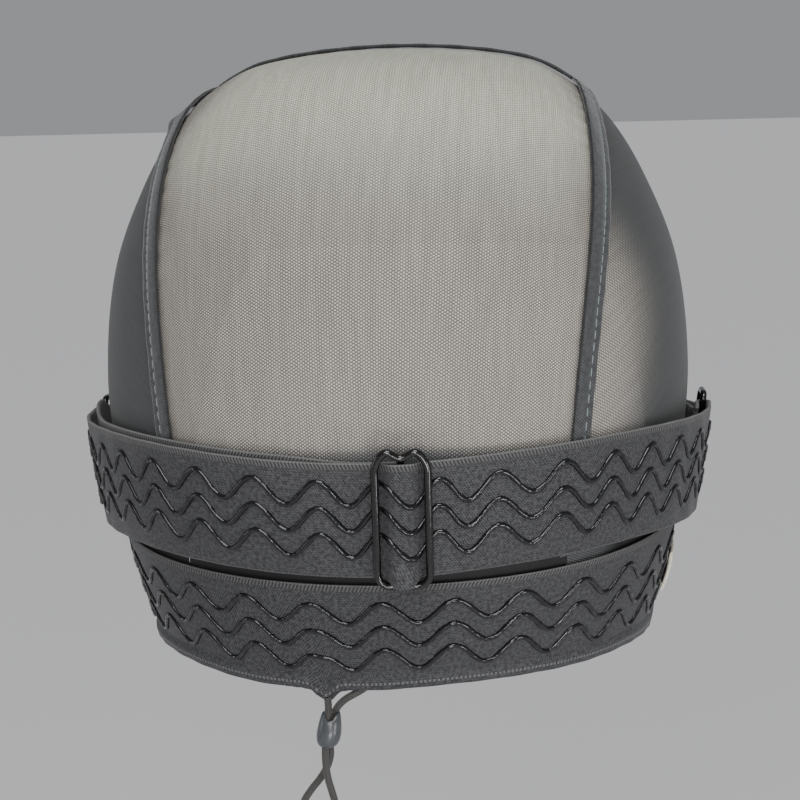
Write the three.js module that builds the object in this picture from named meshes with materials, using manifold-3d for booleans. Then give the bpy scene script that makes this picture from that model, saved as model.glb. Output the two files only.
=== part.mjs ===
// Wig cap with an adjustable elastic strap, a nape band and a drawstring.
// Millimetres, +Z up. The nape faces -Y and the forehead +Y.
// The origin is the inside of the crown, where the cap sits on what it is worn on.
import * as THREE from 'three';
import { mergeVertices } from 'three/addons/utils/BufferGeometryUtils.js';
import Module from 'manifold-3d';

const wasm = await Module();
wasm.setup();

// Overall form, measured to the outside of the mesh cloth
const CAP_WIDTH = 154.4;
const CAP_DEPTH = 154;
const BACK_REACH = 88;
const FRONT_REACH = 98;
const SECTION_POWER = 2.15;

// Cloth, tape and elastic
const MESH_THICKNESS = 1;
const TAPE_THICKNESS = 0.9;
const TAPE_WIDTH = 4.8;
const ELASTIC_THICKNESS = 1;
const PIECE_GAP = 0.3;
const PANEL_GAP = 0.3;

// Adjuster strap
const STRAP_TOP_DEPTH = 94.8;
const STRAP_WIDTH = 27.8;
const STRAP_RISE = 2;
const STRAP_MID_CLEARANCE = 1.5;
const RING_CLEARANCE_LEFT = 2.8;
const RING_CLEARANCE_RIGHT = 1.7;
const RETURN_FLAP_LENGTH = 12;
const STRAP_STEP = 8;

// Nape band, below the strap by the height of the slit between them
const SLIT_HEIGHT = 2.7;
const NAPE_TOP_DEPTH = STRAP_TOP_DEPTH + STRAP_WIDTH + SLIT_HEIGHT;
const NAPE_TOP_RISE = 5;
const NAPE_HEIGHT = 29;
const NAPE_END_ANGLE = 97;
const NAPE_END_ROUND = 13;
const NAPE_END_LIFT = 13;
const NAPE_HEM_WANDER = 2;
const NAPE_OVERLAP = 3;
const HEM_HEIGHT = 4;
const HEM_THICKNESS = 2;
const FUNNEL_PLACE = -10.8;
const FUNNEL_DROP = 2.4;
const FUNNEL_HALF_WIDTH = 4;

// Seams and rims of the panels; the ear tab ends a little above the panels' rim under the nape band
const SEAM_HALF_SPACING = 52;
const SEAM_TAPER = 0.06;
const SEAM_WIDEST_ANGLE = 55;
const CROWN_SEAM_REACH = 3;
const HAIRLINE_DEPTH = 58;
const EAR_TAB_RISE = 4.3;
const EAR_TAB_DEPTH = NAPE_TOP_DEPTH + NAPE_OVERLAP - EAR_TAB_RISE;
const EAR_TAB_ANGLE = 112;
const TAB_SHARE = 0.22;
const TEMPLE_HOLLOW = 0.05;
const RIM_END_GAP = 1;
const BINDING_WIDTH = 5;
const BINDING_LEAN = 1.3;

// Slide buckle, worked out along the strap from the centre of the back
const SLIDE_PLACE = 8.8;
const SLIDE_WIDTH = 13.8;
const SLIDE_HEIGHT = 33.6;
const SLIDE_WIRE = 1.8;
const SLIDE_DIP = 0.8;
const SLIDE_BAR_SETBACK = 1;
const SLIDE_BAR_WIRE = 1.6;
const SLIDE_CORNER = 3.2;

// Rings at the ears
const RING_ANGLE = 90;
const RING_HEIGHT = 33.4;
const RING_DEPTH = 11;
const RING_WIRE = 1.7;
const RING_CORNER = 1.8;
const RING_TAB_HEIGHT = 22;
const RING_TAB_LENGTH = 14;

// Raised waves of grip silicone
const WAVE_WIDTH = 1.1;
const WAVE_HEIGHT = 0.6;
const WAVE_GAP = 0.25;
const WAVE_ROW_COUNT = 3;
const WAVE_STEP_COUNT = 6;
const WAVE_END_MARGIN = 3;
const STRAP_WAVE = { pitch: 14.75, phase: -10.8, swing: 2.85, first: 7.3, rowStep: 6.3 };
const NAPE_WAVE = { pitch: 16.34, phase: 2.7, swing: 2.75, first: 7.6, rowStep: 6.4 };

// Side label
const LABEL_HEIGHT = 10.5;
const LABEL_LENGTH = 12;
const LABEL_THICKNESS = 1.1;
const LABEL_ANGLE = 82;
const LABEL_DROP = 11;
const LABEL_BOW = 0.5;

// Drawstring and its stopper
const CORD_DIAMETER = 1.8;
const CORD_SIDE_COUNT = 8;
const CORD_STEP_COUNT = 60;
const STOPPER_HEIGHT = 8.8;
const STOPPER_WIDTH = 6;
const STOPPER_THICKNESS = 5.8;
const STOPPER_CLEARANCE = 0.3;
const STOPPER_LEAN = 0.13;
const STOPPER_PLACE = [-0.33, -2.26, -10.10];
const STRAND_SPREAD = 1.05;

// Route of the drawstring from the hem at the funnel: out of the funnel, down through the stopper,
// round the loop and back to the hem
const CORD_ROUTE = [
  [-0.73, -0.91, -2.70],
  [-0.53, -1.51, -4.50],
  [-0.43, -2.71, -6.70],
  [-0.73, -3.21, -9.10],
  [-1.03, -3.21, -11.70],
  [-1.33, -3.21, -14.30],
  [-1.33, -3.41, -17.10],
  [-1.13, -3.61, -19.90],
  [-0.63, -3.71, -22.70],
  [0.07, -3.51, -25.50],
  [0.67, -3.21, -28.30],
  [0.97, -2.91, -31.50],
  [0.77, -2.51, -34.90],
  [-0.73, -2.21, -37.90],
  [-3.33, -1.91, -39.50],
  [-5.93, -1.61, -38.30],
  [-7.53, -1.41, -35.50],
  [-8.03, -1.21, -32.10],
  [-7.23, -1.11, -28.70],
  [-5.33, -1.01, -25.70],
  [-3.13, -1.01, -22.90],
  [-1.33, -1.01, -19.90],
  [-0.43, -1.21, -17.10],
  [-0.33, -1.31, -14.30],
  [-0.03, -1.31, -11.70],
  [0.27, -1.31, -9.10],
  [0.77, -1.41, -6.70],
  [1.87, -1.71, -4.50],
  [3.67, -2.01, -2.70],
  [5.47, -2.01, -1.60],
  [7.07, -1.81, -0.80],
];

// Shares of the cap's depth, half width and reach, from the crown down
const FORM_COLUMNS = { depth: 0, width: 1, back: 2, front: 3 };
const FORM = [
  [0.000, 0.000, 0.000, 0.000],
  [0.020, 0.425, 0.430, 0.430],
  [0.052, 0.575, 0.590, 0.600],
  [0.123, 0.735, 0.735, 0.760],
  [0.227, 0.860, 0.865, 0.895],
  [0.364, 0.962, 0.955, 0.985],
  [0.539, 1.000, 1.000, 1.000],
  [0.700, 0.975, 0.985, 0.970],
  [0.800, 0.940, 0.935, 0.930],
  [0.900, 0.892, 0.865, 0.870],
  [1.000, 0.834, 0.790, 0.800],
  [1.150, 0.750, 0.680, 0.700],
];

// The middle of the form, from which points are cast out to the skin
const PIVOT_SHARE = 0.39;
const PIVOT = new THREE.Vector3(0, 0, -PIVOT_SHARE * CAP_DEPTH);
const RADIANS = Math.PI / 180;
const LEFT = -1;
const RIGHT = 1;

function lerp(a, b, t) {
  return a + (b - a) * t;
}

function smooth(edge0, edge1, value) {
  return THREE.MathUtils.smoothstep(value, edge0, edge1);
}

// One column of the form table at a height, by cubic steps over the square root of the depth
function formShare(z, column) {
  const root = Math.sqrt(Math.max(MESH_THICKNESS - z, 0) / CAP_DEPTH);
  const at = (k) => Math.sqrt(FORM[k][FORM_COLUMNS.depth]);
  const value = (k) => FORM[k][column];
  const last = FORM.length - 1;
  let k = 0;
  while (k < last - 1 && at(k + 1) < root) k += 1;
  const slope = (j) => {
    const low = Math.max(j - 1, 0);
    const high = Math.min(j + 1, last);
    return (value(high) - value(low)) / (at(high) - at(low));
  };
  const span = at(k + 1) - at(k);
  const t = (root - at(k)) / span;
  const t2 = t * t;
  const t3 = t2 * t;
  const start = (2 * t3 - 3 * t2 + 1) * value(k) + (t3 - 2 * t2 + t) * slope(k) * span;
  return start + (3 * t2 - 2 * t3) * value(k + 1) + (t3 - t2) * slope(k + 1) * span;
}

// Half width and reach of the level section at a height
function sectionSize(z, forward) {
  return {
    halfWidth: formShare(z, FORM_COLUMNS.width) * CAP_WIDTH / 2,
    reach: forward
      ? formShare(z, FORM_COLUMNS.front) * FRONT_REACH
      : formShare(z, FORM_COLUMNS.back) * BACK_REACH,
  };
}

// Point and level outward normal of the section, the angle counted from the back towards +X
function section(angle, z, out = 0) {
  const s = Math.sin(angle * RADIANS);
  const c = Math.cos(angle * RADIANS);
  const { halfWidth, reach } = sectionSize(z, c < 0);
  const scale = (Math.abs(s) ** SECTION_POWER + Math.abs(c) ** SECTION_POWER) ** (-1 / SECTION_POWER);
  const power = SECTION_POWER - 1;
  const normal = new THREE.Vector3(
    Math.sign(s) * Math.abs(s * scale) ** power / halfWidth,
    -Math.sign(c) * Math.abs(c * scale) ** power / reach,
    0,
  ).normalize();
  return new THREE.Vector3(s * scale * halfWidth, -c * scale * reach, z).addScaledVector(normal, out);
}

// Half width of the skin at a forward place and a height
function skinHalfWidth(y, z) {
  const { halfWidth, reach } = sectionSize(z, y > 0);
  return halfWidth * (1 - Math.abs(y / reach) ** SECTION_POWER) ** (1 / SECTION_POWER);
}

function isOutside(p) {
  if (p.z >= MESH_THICKNESS) return true;
  const { halfWidth, reach } = sectionSize(p.z, p.y > 0);
  const across = Math.abs(p.x) / halfWidth;
  const along = Math.abs(p.y) / reach;
  return across ** SECTION_POWER + along ** SECTION_POWER > 1;
}

// Where a line from inside the form leaves it
function castOut(origin, direction) {
  let near = 0;
  let far = 2 * FRONT_REACH;
  const step = direction.clone().normalize();
  for (let i = 0; i < 34; i += 1) {
    const middle = (near + far) / 2;
    if (isOutside(origin.clone().addScaledVector(step, middle))) far = middle;
    else near = middle;
  }
  return origin.clone().addScaledVector(step, near);
}

function toSkin(point) {
  return castOut(PIVOT, point.clone().sub(PIVOT));
}

function skinNormal(point) {
  const nudge = 0.02;
  const d = point.clone().sub(PIVOT).normalize();
  const side = Math.abs(d.x) < 0.7 ? new THREE.Vector3(1, 0, 0) : new THREE.Vector3(0, 1, 0);
  const u = side.cross(d).normalize().multiplyScalar(nudge);
  const v = d.clone().cross(u);
  const across = castOut(PIVOT, d.clone().add(u)).sub(castOut(PIVOT, d.clone().sub(u)));
  const along = castOut(PIVOT, d.clone().add(v)).sub(castOut(PIVOT, d.clone().sub(v)));
  const normal = across.cross(along).normalize();
  return normal.dot(d) < 0 ? normal.negate() : normal;
}

function lifted(point, offset) {
  return point.clone().addScaledVector(skinNormal(point), offset);
}

// Closed body from vertices and triangles, turned so that its faces point out
function closedBody(vertices, triangles) {
  let volume = 0;
  for (const [a, b, c] of triangles) {
    volume += vertices[a].dot(vertices[b].clone().cross(vertices[c]));
  }
  const index = triangles.flatMap(([a, b, c]) => (volume < 0 ? [a, c, b] : [a, b, c]));
  const numbers = vertices.flatMap((v) => v.toArray());
  const geometry = new THREE.BufferGeometry();
  geometry.setAttribute('position', new THREE.Float32BufferAttribute(numbers, 3));
  geometry.setIndex(index);
  geometry.computeVertexNormals();
  return geometry;
}

// Sheet with two faces and four closed edges; face(i, j) gives the pair of points at a grid place
function slab(columns, rows, face) {
  const vertices = [];
  for (let i = 0; i <= columns; i += 1) {
    for (let j = 0; j <= rows; j += 1) vertices.push(...face(i / columns, j / rows, i, j));
  }
  const at = (i, j, side) => 2 * (i * (rows + 1) + j) + side;
  const triangles = [];
  const quad = (a, b, c, d) => triangles.push([a, b, c], [a, c, d]);
  for (let i = 0; i < columns; i += 1) {
    for (let j = 0; j < rows; j += 1) {
      quad(at(i, j, 0), at(i + 1, j, 0), at(i + 1, j + 1, 0), at(i, j + 1, 0));
      quad(at(i, j, 1), at(i, j + 1, 1), at(i + 1, j + 1, 1), at(i + 1, j, 1));
    }
    quad(at(i, 0, 0), at(i, 0, 1), at(i + 1, 0, 1), at(i + 1, 0, 0));
    quad(at(i, rows, 0), at(i + 1, rows, 0), at(i + 1, rows, 1), at(i, rows, 1));
  }
  for (let j = 0; j < rows; j += 1) {
    quad(at(0, j, 0), at(0, j + 1, 0), at(0, j + 1, 1), at(0, j, 1));
    quad(at(columns, j, 0), at(columns, j, 1), at(columns, j + 1, 1), at(columns, j + 1, 0));
  }
  return closedBody(vertices, triangles);
}

// Round wire along a closed loop of points that lies near one plane
function wireLoop(points, radius, planeNormal, sides = 6) {
  const vertices = [];
  const triangles = [];
  const count = points.length;
  points.forEach((point, i) => {
    const tangent = points[(i + 1) % count].clone().sub(points[(i + count - 1) % count]).normalize();
    const out = tangent.clone().cross(planeNormal).normalize();
    for (let k = 0; k < sides; k += 1) {
      const turn = 2 * Math.PI * (k + 0.5) / sides;
      const rim = out.clone().multiplyScalar(Math.cos(turn)).addScaledVector(planeNormal, Math.sin(turn));
      vertices.push(point.clone().addScaledVector(rim, radius));
    }
  });
  for (let i = 0; i < count; i += 1) {
    for (let k = 0; k < sides; k += 1) {
      const a = i * sides + k;
      const b = i * sides + (k + 1) % sides;
      const c = ((i + 1) % count) * sides + (k + 1) % sides;
      const d = ((i + 1) % count) * sides + k;
      triangles.push([a, b, c], [a, c, d]);
    }
  }
  return closedBody(vertices, triangles);
}

function toSolid(geometry) {
  const bare = geometry.clone();
  bare.deleteAttribute('normal');
  bare.deleteAttribute('uv');
  const merged = mergeVertices(bare, 1e-4);
  return new wasm.Manifold(new wasm.Mesh({
    numProp: 3,
    vertProperties: new Float32Array(merged.attributes.position.array),
    triVerts: new Uint32Array(merged.index.array),
  }));
}

function toGeometry(solid) {
  const mesh = solid.getMesh();
  const geometry = new THREE.BufferGeometry();
  geometry.setAttribute('position', new THREE.Float32BufferAttribute(mesh.vertProperties, 3));
  geometry.setIndex(Array.from(mesh.triVerts));
  geometry.computeVertexNormals();
  return geometry;
}

const object = new THREE.Group();
const MATERIALS = {
  mesh: new THREE.MeshStandardMaterial({ color: 0x5c5c56, roughness: 0.75, metalness: 0 }),
  tape: new THREE.MeshStandardMaterial({ color: 0x3a3b3e, roughness: 0.8, metalness: 0 }),
  elastic: new THREE.MeshStandardMaterial({ color: 0x2a2b2d, roughness: 0.85, metalness: 0 }),
  silicone: new THREE.MeshStandardMaterial({ color: 0x0c0c0d, roughness: 0.15, metalness: 0 }),
  wire: new THREE.MeshStandardMaterial({ color: 0x08080a, roughness: 0.2, metalness: 0.2 }),
  label: new THREE.MeshStandardMaterial({ color: 0xf3eddb, roughness: 0.8, metalness: 0 }),
  stopper: new THREE.MeshStandardMaterial({ color: 0x4b4e50, roughness: 0.35, metalness: 0 }),
  cord: new THREE.MeshStandardMaterial({ color: 0x3b3936, roughness: 0.7, metalness: 0 }),
};

function add(name, geometry, material) {
  const mesh = new THREE.Mesh(geometry, MATERIALS[material].clone());
  mesh.name = name;
  object.add(mesh);
}

// Mesh panels

// Half spacing of the long seams, closer together at the crown and at the nape
function seamX(angle) {
  const fromWidest = Math.abs(angle) / SEAM_WIDEST_ANGLE - 1;
  return SEAM_HALF_SPACING * (1 - SEAM_TAPER * fromWidest ** 2);
}

// Point on the skin in the upright plane at x, the angle counted from straight up towards the back
function overHead(x, angle) {
  const direction = new THREE.Vector3(0, -Math.sin(angle * RADIANS), Math.cos(angle * RADIANS));
  return castOut(new THREE.Vector3(x, 0, PIVOT.z), direction);
}

// Angle in the plane at x where the skin passes a height
function overHeadAngle(x, z, forward) {
  const { halfWidth, reach } = sectionSize(z, forward);
  const share = Math.min(Math.abs(x) / halfWidth, 1) ** SECTION_POWER;
  const distance = reach * (1 - share) ** (1 / SECTION_POWER);
  const angle = Math.atan2(distance, z - PIVOT.z) / RADIANS;
  return forward ? -angle : angle;
}

const NAPE_RIM_Z = MESH_THICKNESS - NAPE_TOP_DEPTH - NAPE_OVERLAP;
const HAIRLINE_Z = MESH_THICKNESS - HAIRLINE_DEPTH;
const CROWN_SEAM_ANGLE = -Math.atan2(CROWN_SEAM_REACH, -PIVOT.z) / RADIANS;

function meshFaces(point) {
  return [lifted(point, -MESH_THICKNESS), point];
}

// Angle at which a line at a share of the way from the middle to the seam reaches a rim
function rimAngle(share, rimZ, forward) {
  let angle = overHeadAngle(share * SEAM_HALF_SPACING, rimZ, forward);
  for (let i = 0; i < 8; i += 1) angle = overHeadAngle(share * seamX(angle), rimZ, forward);
  return angle;
}

function centrePanel(columns, rows, rimZ, forward) {
  const crownShift = (PANEL_GAP / 2) / -PIVOT.z / RADIANS * (forward ? -1 : 1);
  return slab(columns, rows, (u, v) => {
    const across = 2 * u - 1;
    const angle = lerp(CROWN_SEAM_ANGLE + crownShift, rimAngle(across, rimZ, forward), v);
    return meshFaces(overHead(across * (seamX(angle) - PANEL_GAP / 2), angle));
  });
}

const SEAM_BACK_ANGLE = rimAngle(1, NAPE_RIM_Z, false);
const SEAM_FRONT_ANGLE = rimAngle(1, HAIRLINE_Z, true);

function seamEdge(side, t) {
  const angle = lerp(SEAM_BACK_ANGLE, SEAM_FRONT_ANGLE, t);
  return overHead(side * (seamX(angle) + PANEL_GAP / 2), angle);
}

// Angle round the head, seen from above, of a point on the skin
function angleOf(point) {
  const { halfWidth, reach } = sectionSize(point.z, point.y > 0);
  return Math.atan2(Math.abs(point.x) / halfWidth, -point.y / reach) / RADIANS;
}

// Free rim in front of the nape band: under the ear tab, then up past the temple to the hairline
function frontRim(side, t) {
  const seamCorner = seamEdge(side, 1);
  const tabZ = MESH_THICKNESS - EAR_TAB_DEPTH;
  const start = NAPE_END_ANGLE + RIM_END_GAP;
  if (t <= TAB_SHARE) {
    const k = t / TAB_SHARE;
    return section(side * lerp(start, EAR_TAB_ANGLE, k), lerp(NAPE_RIM_Z, tabZ, smooth(0, 1, k)));
  }
  const k = (t - TAB_SHARE) / (1 - TAB_SHARE);
  const rise = k - TEMPLE_HOLLOW * Math.sin(2 * Math.PI * k);
  return section(side * lerp(EAR_TAB_ANGLE, angleOf(seamCorner), k), lerp(tabZ, seamCorner.z, rise));
}

// Side panel: a patch between the seam, the rim behind the ear, the ear tab and the hairline
function sidePanel(side, columns, rows) {
  const templeShare = 0.72;
  const backAngle = angleOf(seamEdge(side, 0));
  const seam = (u) => seamEdge(side, u);
  const ear = (u) => frontRim(side, u * templeShare);
  const back = (v) => section(side * lerp(backAngle, NAPE_END_ANGLE + RIM_END_GAP, v), NAPE_RIM_Z);
  const front = (v) => frontRim(side, lerp(1, templeShare, v));
  const corner = [seam(0), seam(1), ear(0), ear(1)];
  return slab(columns, rows, (u, v) => {
    const rails = seam(u).multiplyScalar(1 - v).addScaledVector(ear(u), v);
    const ends = back(v).multiplyScalar(1 - u).addScaledVector(front(v), u);
    const low = corner[0].clone().multiplyScalar(1 - u).addScaledVector(corner[1], u);
    const high = corner[2].clone().multiplyScalar(1 - u).addScaledVector(corner[3], u);
    const both = low.multiplyScalar(1 - v).addScaledVector(high, v);
    return meshFaces(toSkin(rails.add(ends).sub(both)));
  });
}

add('centre_back_panel', centrePanel(12, 16, NAPE_RIM_Z, false), 'mesh');
add('centre_front_panel', centrePanel(12, 9, HAIRLINE_Z, true), 'mesh');
add('left_side_panel', sidePanel(LEFT, 16, 9), 'mesh');
add('right_side_panel', sidePanel(RIGHT, 16, 9), 'mesh');

// Seam tapes and edge binding

const TAPE_LIFT = PIECE_GAP;

function tapeFaces(point) {
  return [lifted(point, TAPE_LIFT), lifted(point, TAPE_LIFT + TAPE_THICKNESS)];
}

// The tape starts behind the strap, just above the nape band, and stops short of the front binding
function seamTape(side) {
  const napeStop = rimAngle(1, NAPE_RIM_Z + NAPE_OVERLAP + NAPE_TOP_RISE, false);
  const bindingTurn = (BINDING_WIDTH + 2 * PIECE_GAP) / FRONT_REACH / RADIANS;
  const frontStop = SEAM_FRONT_ANGLE + BINDING_LEAN * bindingTurn;
  return slab(26, 2, (u, v) => {
    const angle = lerp(napeStop, frontStop, u);
    return tapeFaces(overHead(side * seamX(angle) + (v - 0.5) * TAPE_WIDTH, angle));
  });
}

// The tape over the crown seam runs between the two long tapes
function crownTape() {
  return slab(14, 1, (u, v) => {
    const halfLength = seamX(CROWN_SEAM_ANGLE) - TAPE_WIDTH / 2 - PIECE_GAP;
    const halfTurn = TAPE_WIDTH / 2 / -PIVOT.z / RADIANS;
    const angle = CROWN_SEAM_ANGLE + (2 * v - 1) * halfTurn;
    return tapeFaces(overHead((2 * u - 1) * halfLength, angle));
  });
}

// Rim from one ear tab over the hairline to the other
function wholeFrontRim(t) {
  const sideShare = 0.36;
  if (t < sideShare) return frontRim(LEFT, t / sideShare);
  if (t > 1 - sideShare) return frontRim(RIGHT, (1 - t) / sideShare);
  const across = (2 * t - 1) / (1 - 2 * sideShare);
  const x = across * (seamX(SEAM_FRONT_ANGLE) + PANEL_GAP / 2);
  return overHead(x, overHeadAngle(x, HAIRLINE_Z, true));
}

function frontBinding() {
  const nudge = 0.004;
  const start = 0.01;
  return slab(44, 1, (u, v) => {
    const t = lerp(start, 1 - start, u);
    const rim = wholeFrontRim(t);
    const tangent = wholeFrontRim(t + nudge).sub(wholeFrontRim(t - nudge)).normalize();
    const inward = tangent.cross(skinNormal(rim)).normalize();
    if (inward.z < 0) inward.negate();
    return tapeFaces(toSkin(rim.addScaledVector(inward, v * BINDING_WIDTH)));
  });
}

add('left_seam_tape', seamTape(LEFT), 'tape');
add('right_seam_tape', seamTape(RIGHT), 'tape');
add('crown_seam_tape', crownTape(), 'tape');
add('front_edge_binding', frontBinding(), 'tape');

// Turns a length along a level section, counted from the centre of the back, into its angle
function girth(z, out) {
  const steps = 240;
  const limit = 110;
  const lengths = [0];
  for (let i = 1; i <= steps; i += 1) {
    const a = section(limit * (i - 1) / steps, z, out);
    lengths.push(lengths[i - 1] + a.distanceTo(section(limit * i / steps, z, out)));
  }
  const angleAt = (length) => {
    let i = 1;
    while (i < steps && lengths[i] < Math.abs(length)) i += 1;
    const part = (Math.abs(length) - lengths[i - 1]) / (lengths[i] - lengths[i - 1]);
    return Math.sign(length) * limit * (i - 1 + part) / steps;
  };
  const lengthAt = (angle) => {
    const place = Math.abs(angle) / limit * steps;
    const i = Math.min(Math.floor(place), steps - 1);
    return Math.sign(angle) * lerp(lengths[i], lengths[i + 1], place - i);
  };
  return { angleAt, lengthAt };
}

// Nape band

const NAPE_LIFT = PIECE_GAP;
const HEM_Z = MESH_THICKNESS - NAPE_TOP_DEPTH - NAPE_HEIGHT;
const napeGirth = girth(HEM_Z + NAPE_HEIGHT / 2, NAPE_LIFT);

function napeTopZ(angle) {
  return MESH_THICKNESS - NAPE_TOP_DEPTH + NAPE_TOP_RISE * (Math.abs(angle) / NAPE_END_ANGLE) ** 1.5;
}

// The lower edge dips at the centre, curves up at the ends and is drawn to a point at the cord's funnel
function napeBottomZ(angle) {
  const turn = Math.abs(angle);
  const endTurn = THREE.MathUtils.clamp((turn - NAPE_END_ANGLE) / NAPE_END_ROUND + 1, 0, 1);
  const wander = NAPE_HEM_WANDER * (smooth(0, 35, turn) - smooth(55, 90, turn));
  const lift = wander + NAPE_END_LIFT * (1 - Math.sqrt(1 - endTurn ** 2));
  const fromFunnel = (napeGirth.lengthAt(angle) - FUNNEL_PLACE) / FUNNEL_HALF_WIDTH;
  const funnel = FUNNEL_DROP * Math.exp(-2 * fromFunnel ** 2);
  return HEM_Z + lift - funnel;
}

// Rows of the band: share of its body above the hem, share of the hem, and how full the hem is there
const NAPE_ROW_COLUMNS = { body: 0, hem: 1, fullness: 2 };
const NAPE_ROWS = [
  [0.00, 0.00, 0.0],
  [0.34, 0.00, 0.0],
  [0.68, 0.00, 0.0],
  [1.00, 0.00, 0.0],
  [1.00, 0.30, 0.9],
  [1.00, 0.75, 1.0],
  [1.00, 1.00, 0.5],
];

function napeRow(j) {
  const row = NAPE_ROWS[j];
  const hem = HEM_HEIGHT / NAPE_HEIGHT;
  return {
    share: row[NAPE_ROW_COLUMNS.body] * (1 - hem) + row[NAPE_ROW_COLUMNS.hem] * hem,
    thickness: lerp(ELASTIC_THICKNESS, HEM_THICKNESS, row[NAPE_ROW_COLUMNS.fullness]),
  };
}

function napePoint(angle, share, out) {
  const z = lerp(napeTopZ(angle), napeBottomZ(angle), share);
  return section(angle, z, NAPE_LIFT + out);
}

// Columns stand closer together round the funnel
function napeAngles() {
  const half = NAPE_END_ANGLE;
  const funnelAngle = napeGirth.angleAt(FUNNEL_PLACE);
  const close = [-1.4, -0.8, -0.35, 0, 0.35, 0.8, 1.4]
    .map((k) => napeGirth.angleAt(FUNNEL_PLACE + k * FUNNEL_HALF_WIDTH));
  const spread = Array.from({ length: 35 }, (_, i) => lerp(-half, half, i / 34));
  const reach = Math.abs(close[6] - funnelAngle) + 1.5;
  return spread.filter((a) => Math.abs(a - funnelAngle) > reach).concat(close).sort((a, b) => a - b);
}

function napeBand() {
  const angles = napeAngles();
  return slab(angles.length - 1, NAPE_ROWS.length - 1, (u, v, i, j) => {
    const { share, thickness } = napeRow(j);
    return [napePoint(angles[i], share, 0), napePoint(angles[i], share, thickness)];
  });
}

add('nape_band', napeBand(), 'elastic');

// Adjuster strap: one elastic from the right ring, over the slide's bar, round the left ring and back

const strapMidZ = MESH_THICKNESS - STRAP_TOP_DEPTH - STRAP_WIDTH / 2;
const strapGirth = girth(strapMidZ, STRAP_MID_CLEARANCE);
const SLIDE_BAR_REACH = SLIDE_WIDTH / 2 - SLIDE_WIRE / 2;
const WAVE_STAND = WAVE_GAP + WAVE_HEIGHT;

// Distances of the layers from the mesh at the slide
const SLIDE_UNDER = PIECE_GAP;
const SLIDE_RUNNING = SLIDE_UNDER + ELASTIC_THICKNESS + PIECE_GAP;
const SLIDE_WIRE_LEVEL = SLIDE_RUNNING + ELASTIC_THICKNESS + WAVE_STAND + PIECE_GAP + SLIDE_WIRE / 2;
const SLIDE_OVER = SLIDE_WIRE_LEVEL - SLIDE_BAR_SETBACK + SLIDE_BAR_WIRE / 2 + PIECE_GAP;
const RING_STACK = ELASTIC_THICKNESS + PIECE_GAP + RING_WIRE + PIECE_GAP;

function ringClearance(side) {
  return side === LEFT ? RING_CLEARANCE_LEFT : RING_CLEARANCE_RIGHT;
}

function strapZ(angle, share) {
  const rise = STRAP_RISE * Math.sin(2 * angle * RADIANS) ** 2;
  return MESH_THICKNESS - STRAP_TOP_DEPTH + rise - share * STRAP_WIDTH;
}

// How far a stiff upright wire stands off the curved skin behind the strap
function straightening(angle, share) {
  const radius = (h) => section(angle, strapZ(angle, h)).setZ(0).length();
  const top = radius(0);
  const bottom = radius(1);
  const bulge = Math.max(...[0.33, 0.5, 0.67].map((h) => radius(h) - lerp(top, bottom, h)));
  return lerp(top, bottom, share) + bulge - radius(share);
}

// The strap runs straight up and down at the slide and at the rings and follows the skin between them
function strapPoint(length, share, out) {
  const angle = strapGirth.angleAt(length);
  const atRing = smooth(RING_ANGLE - 35, RING_ANGLE - 8, Math.abs(angle));
  const atSlide = 1 - smooth(SLIDE_WIDTH * 0.6, SLIDE_WIDTH * 1.6, Math.abs(length - SLIDE_PLACE));
  const straight = Math.max(atRing, atSlide) * straightening(angle, share);
  return section(angle, strapZ(angle, share), out + straight);
}

// Clearance of the layer next to the mesh
function baseClearance(length) {
  const angle = strapGirth.angleAt(length);
  const side = length < 0 ? LEFT : RIGHT;
  const slide = smooth(SLIDE_WIDTH * 0.6, SLIDE_WIDTH * 1.8, Math.abs(length - SLIDE_PLACE));
  const ring = smooth(RING_ANGLE - 40, RING_ANGLE, Math.abs(angle));
  return lerp(lerp(SLIDE_UNDER, STRAP_MID_CLEARANCE, slide), ringClearance(side), ring);
}

// Distance of the running strap's inner face from the mesh
function runningOut(length) {
  const angle = strapGirth.angleAt(length);
  const fromBar = Math.abs(length - SLIDE_PLACE) / SLIDE_BAR_REACH;
  const overBar = 1 - smooth(0.25, 0.92, fromBar);
  const ring = smooth(RING_ANGLE - 40, RING_ANGLE, Math.abs(angle));
  const underLayer = ELASTIC_THICKNESS + PIECE_GAP;
  const single = smooth(SLIDE_BAR_REACH, SLIDE_WIDTH * 2, length - SLIDE_PLACE) * (1 - ring);
  const resting = baseClearance(length) + lerp(underLayer, 0, single);
  const level = lerp(resting, SLIDE_OVER, overBar);
  return level + ring * (RING_STACK - underLayer);
}

const RING_LENGTH = strapGirth.lengthAt(RING_ANGLE);

function ringBar(side, share) {
  const out = ringClearance(side) + ELASTIC_THICKNESS + PIECE_GAP + RING_WIRE / 2;
  return strapPoint(side * RING_LENGTH, share, out);
}

// Half turn of the strap round the ring's near bar, from the running layer to the returning one
function foldStations(side, count) {
  const inner = RING_WIRE / 2 + PIECE_GAP;
  const outer = inner + ELASTIC_THICKNESS;
  const stations = [];
  for (let i = 1; i < count; i += 1) {
    const turn = Math.PI * i / count;
    stations.push((share) => {
      const bar = ringBar(side, share);
      const outward = new THREE.Vector3(side, 0, 0);
      const rim = outward.multiplyScalar(Math.cos(turn)).add(new THREE.Vector3(0, Math.sin(turn), 0));
      return [bar.clone().addScaledVector(rim, inner), bar.clone().addScaledVector(rim, outer)];
    });
  }
  return stations;
}

function runningStation(length) {
  return (share) => {
    const out = runningOut(length);
    return [strapPoint(length, share, out), strapPoint(length, share, out + ELASTIC_THICKNESS)];
  };
}

function returningStation(length) {
  return (share) => {
    const out = baseClearance(length);
    return [strapPoint(length, share, out + ELASTIC_THICKNESS), strapPoint(length, share, out)];
  };
}

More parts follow.
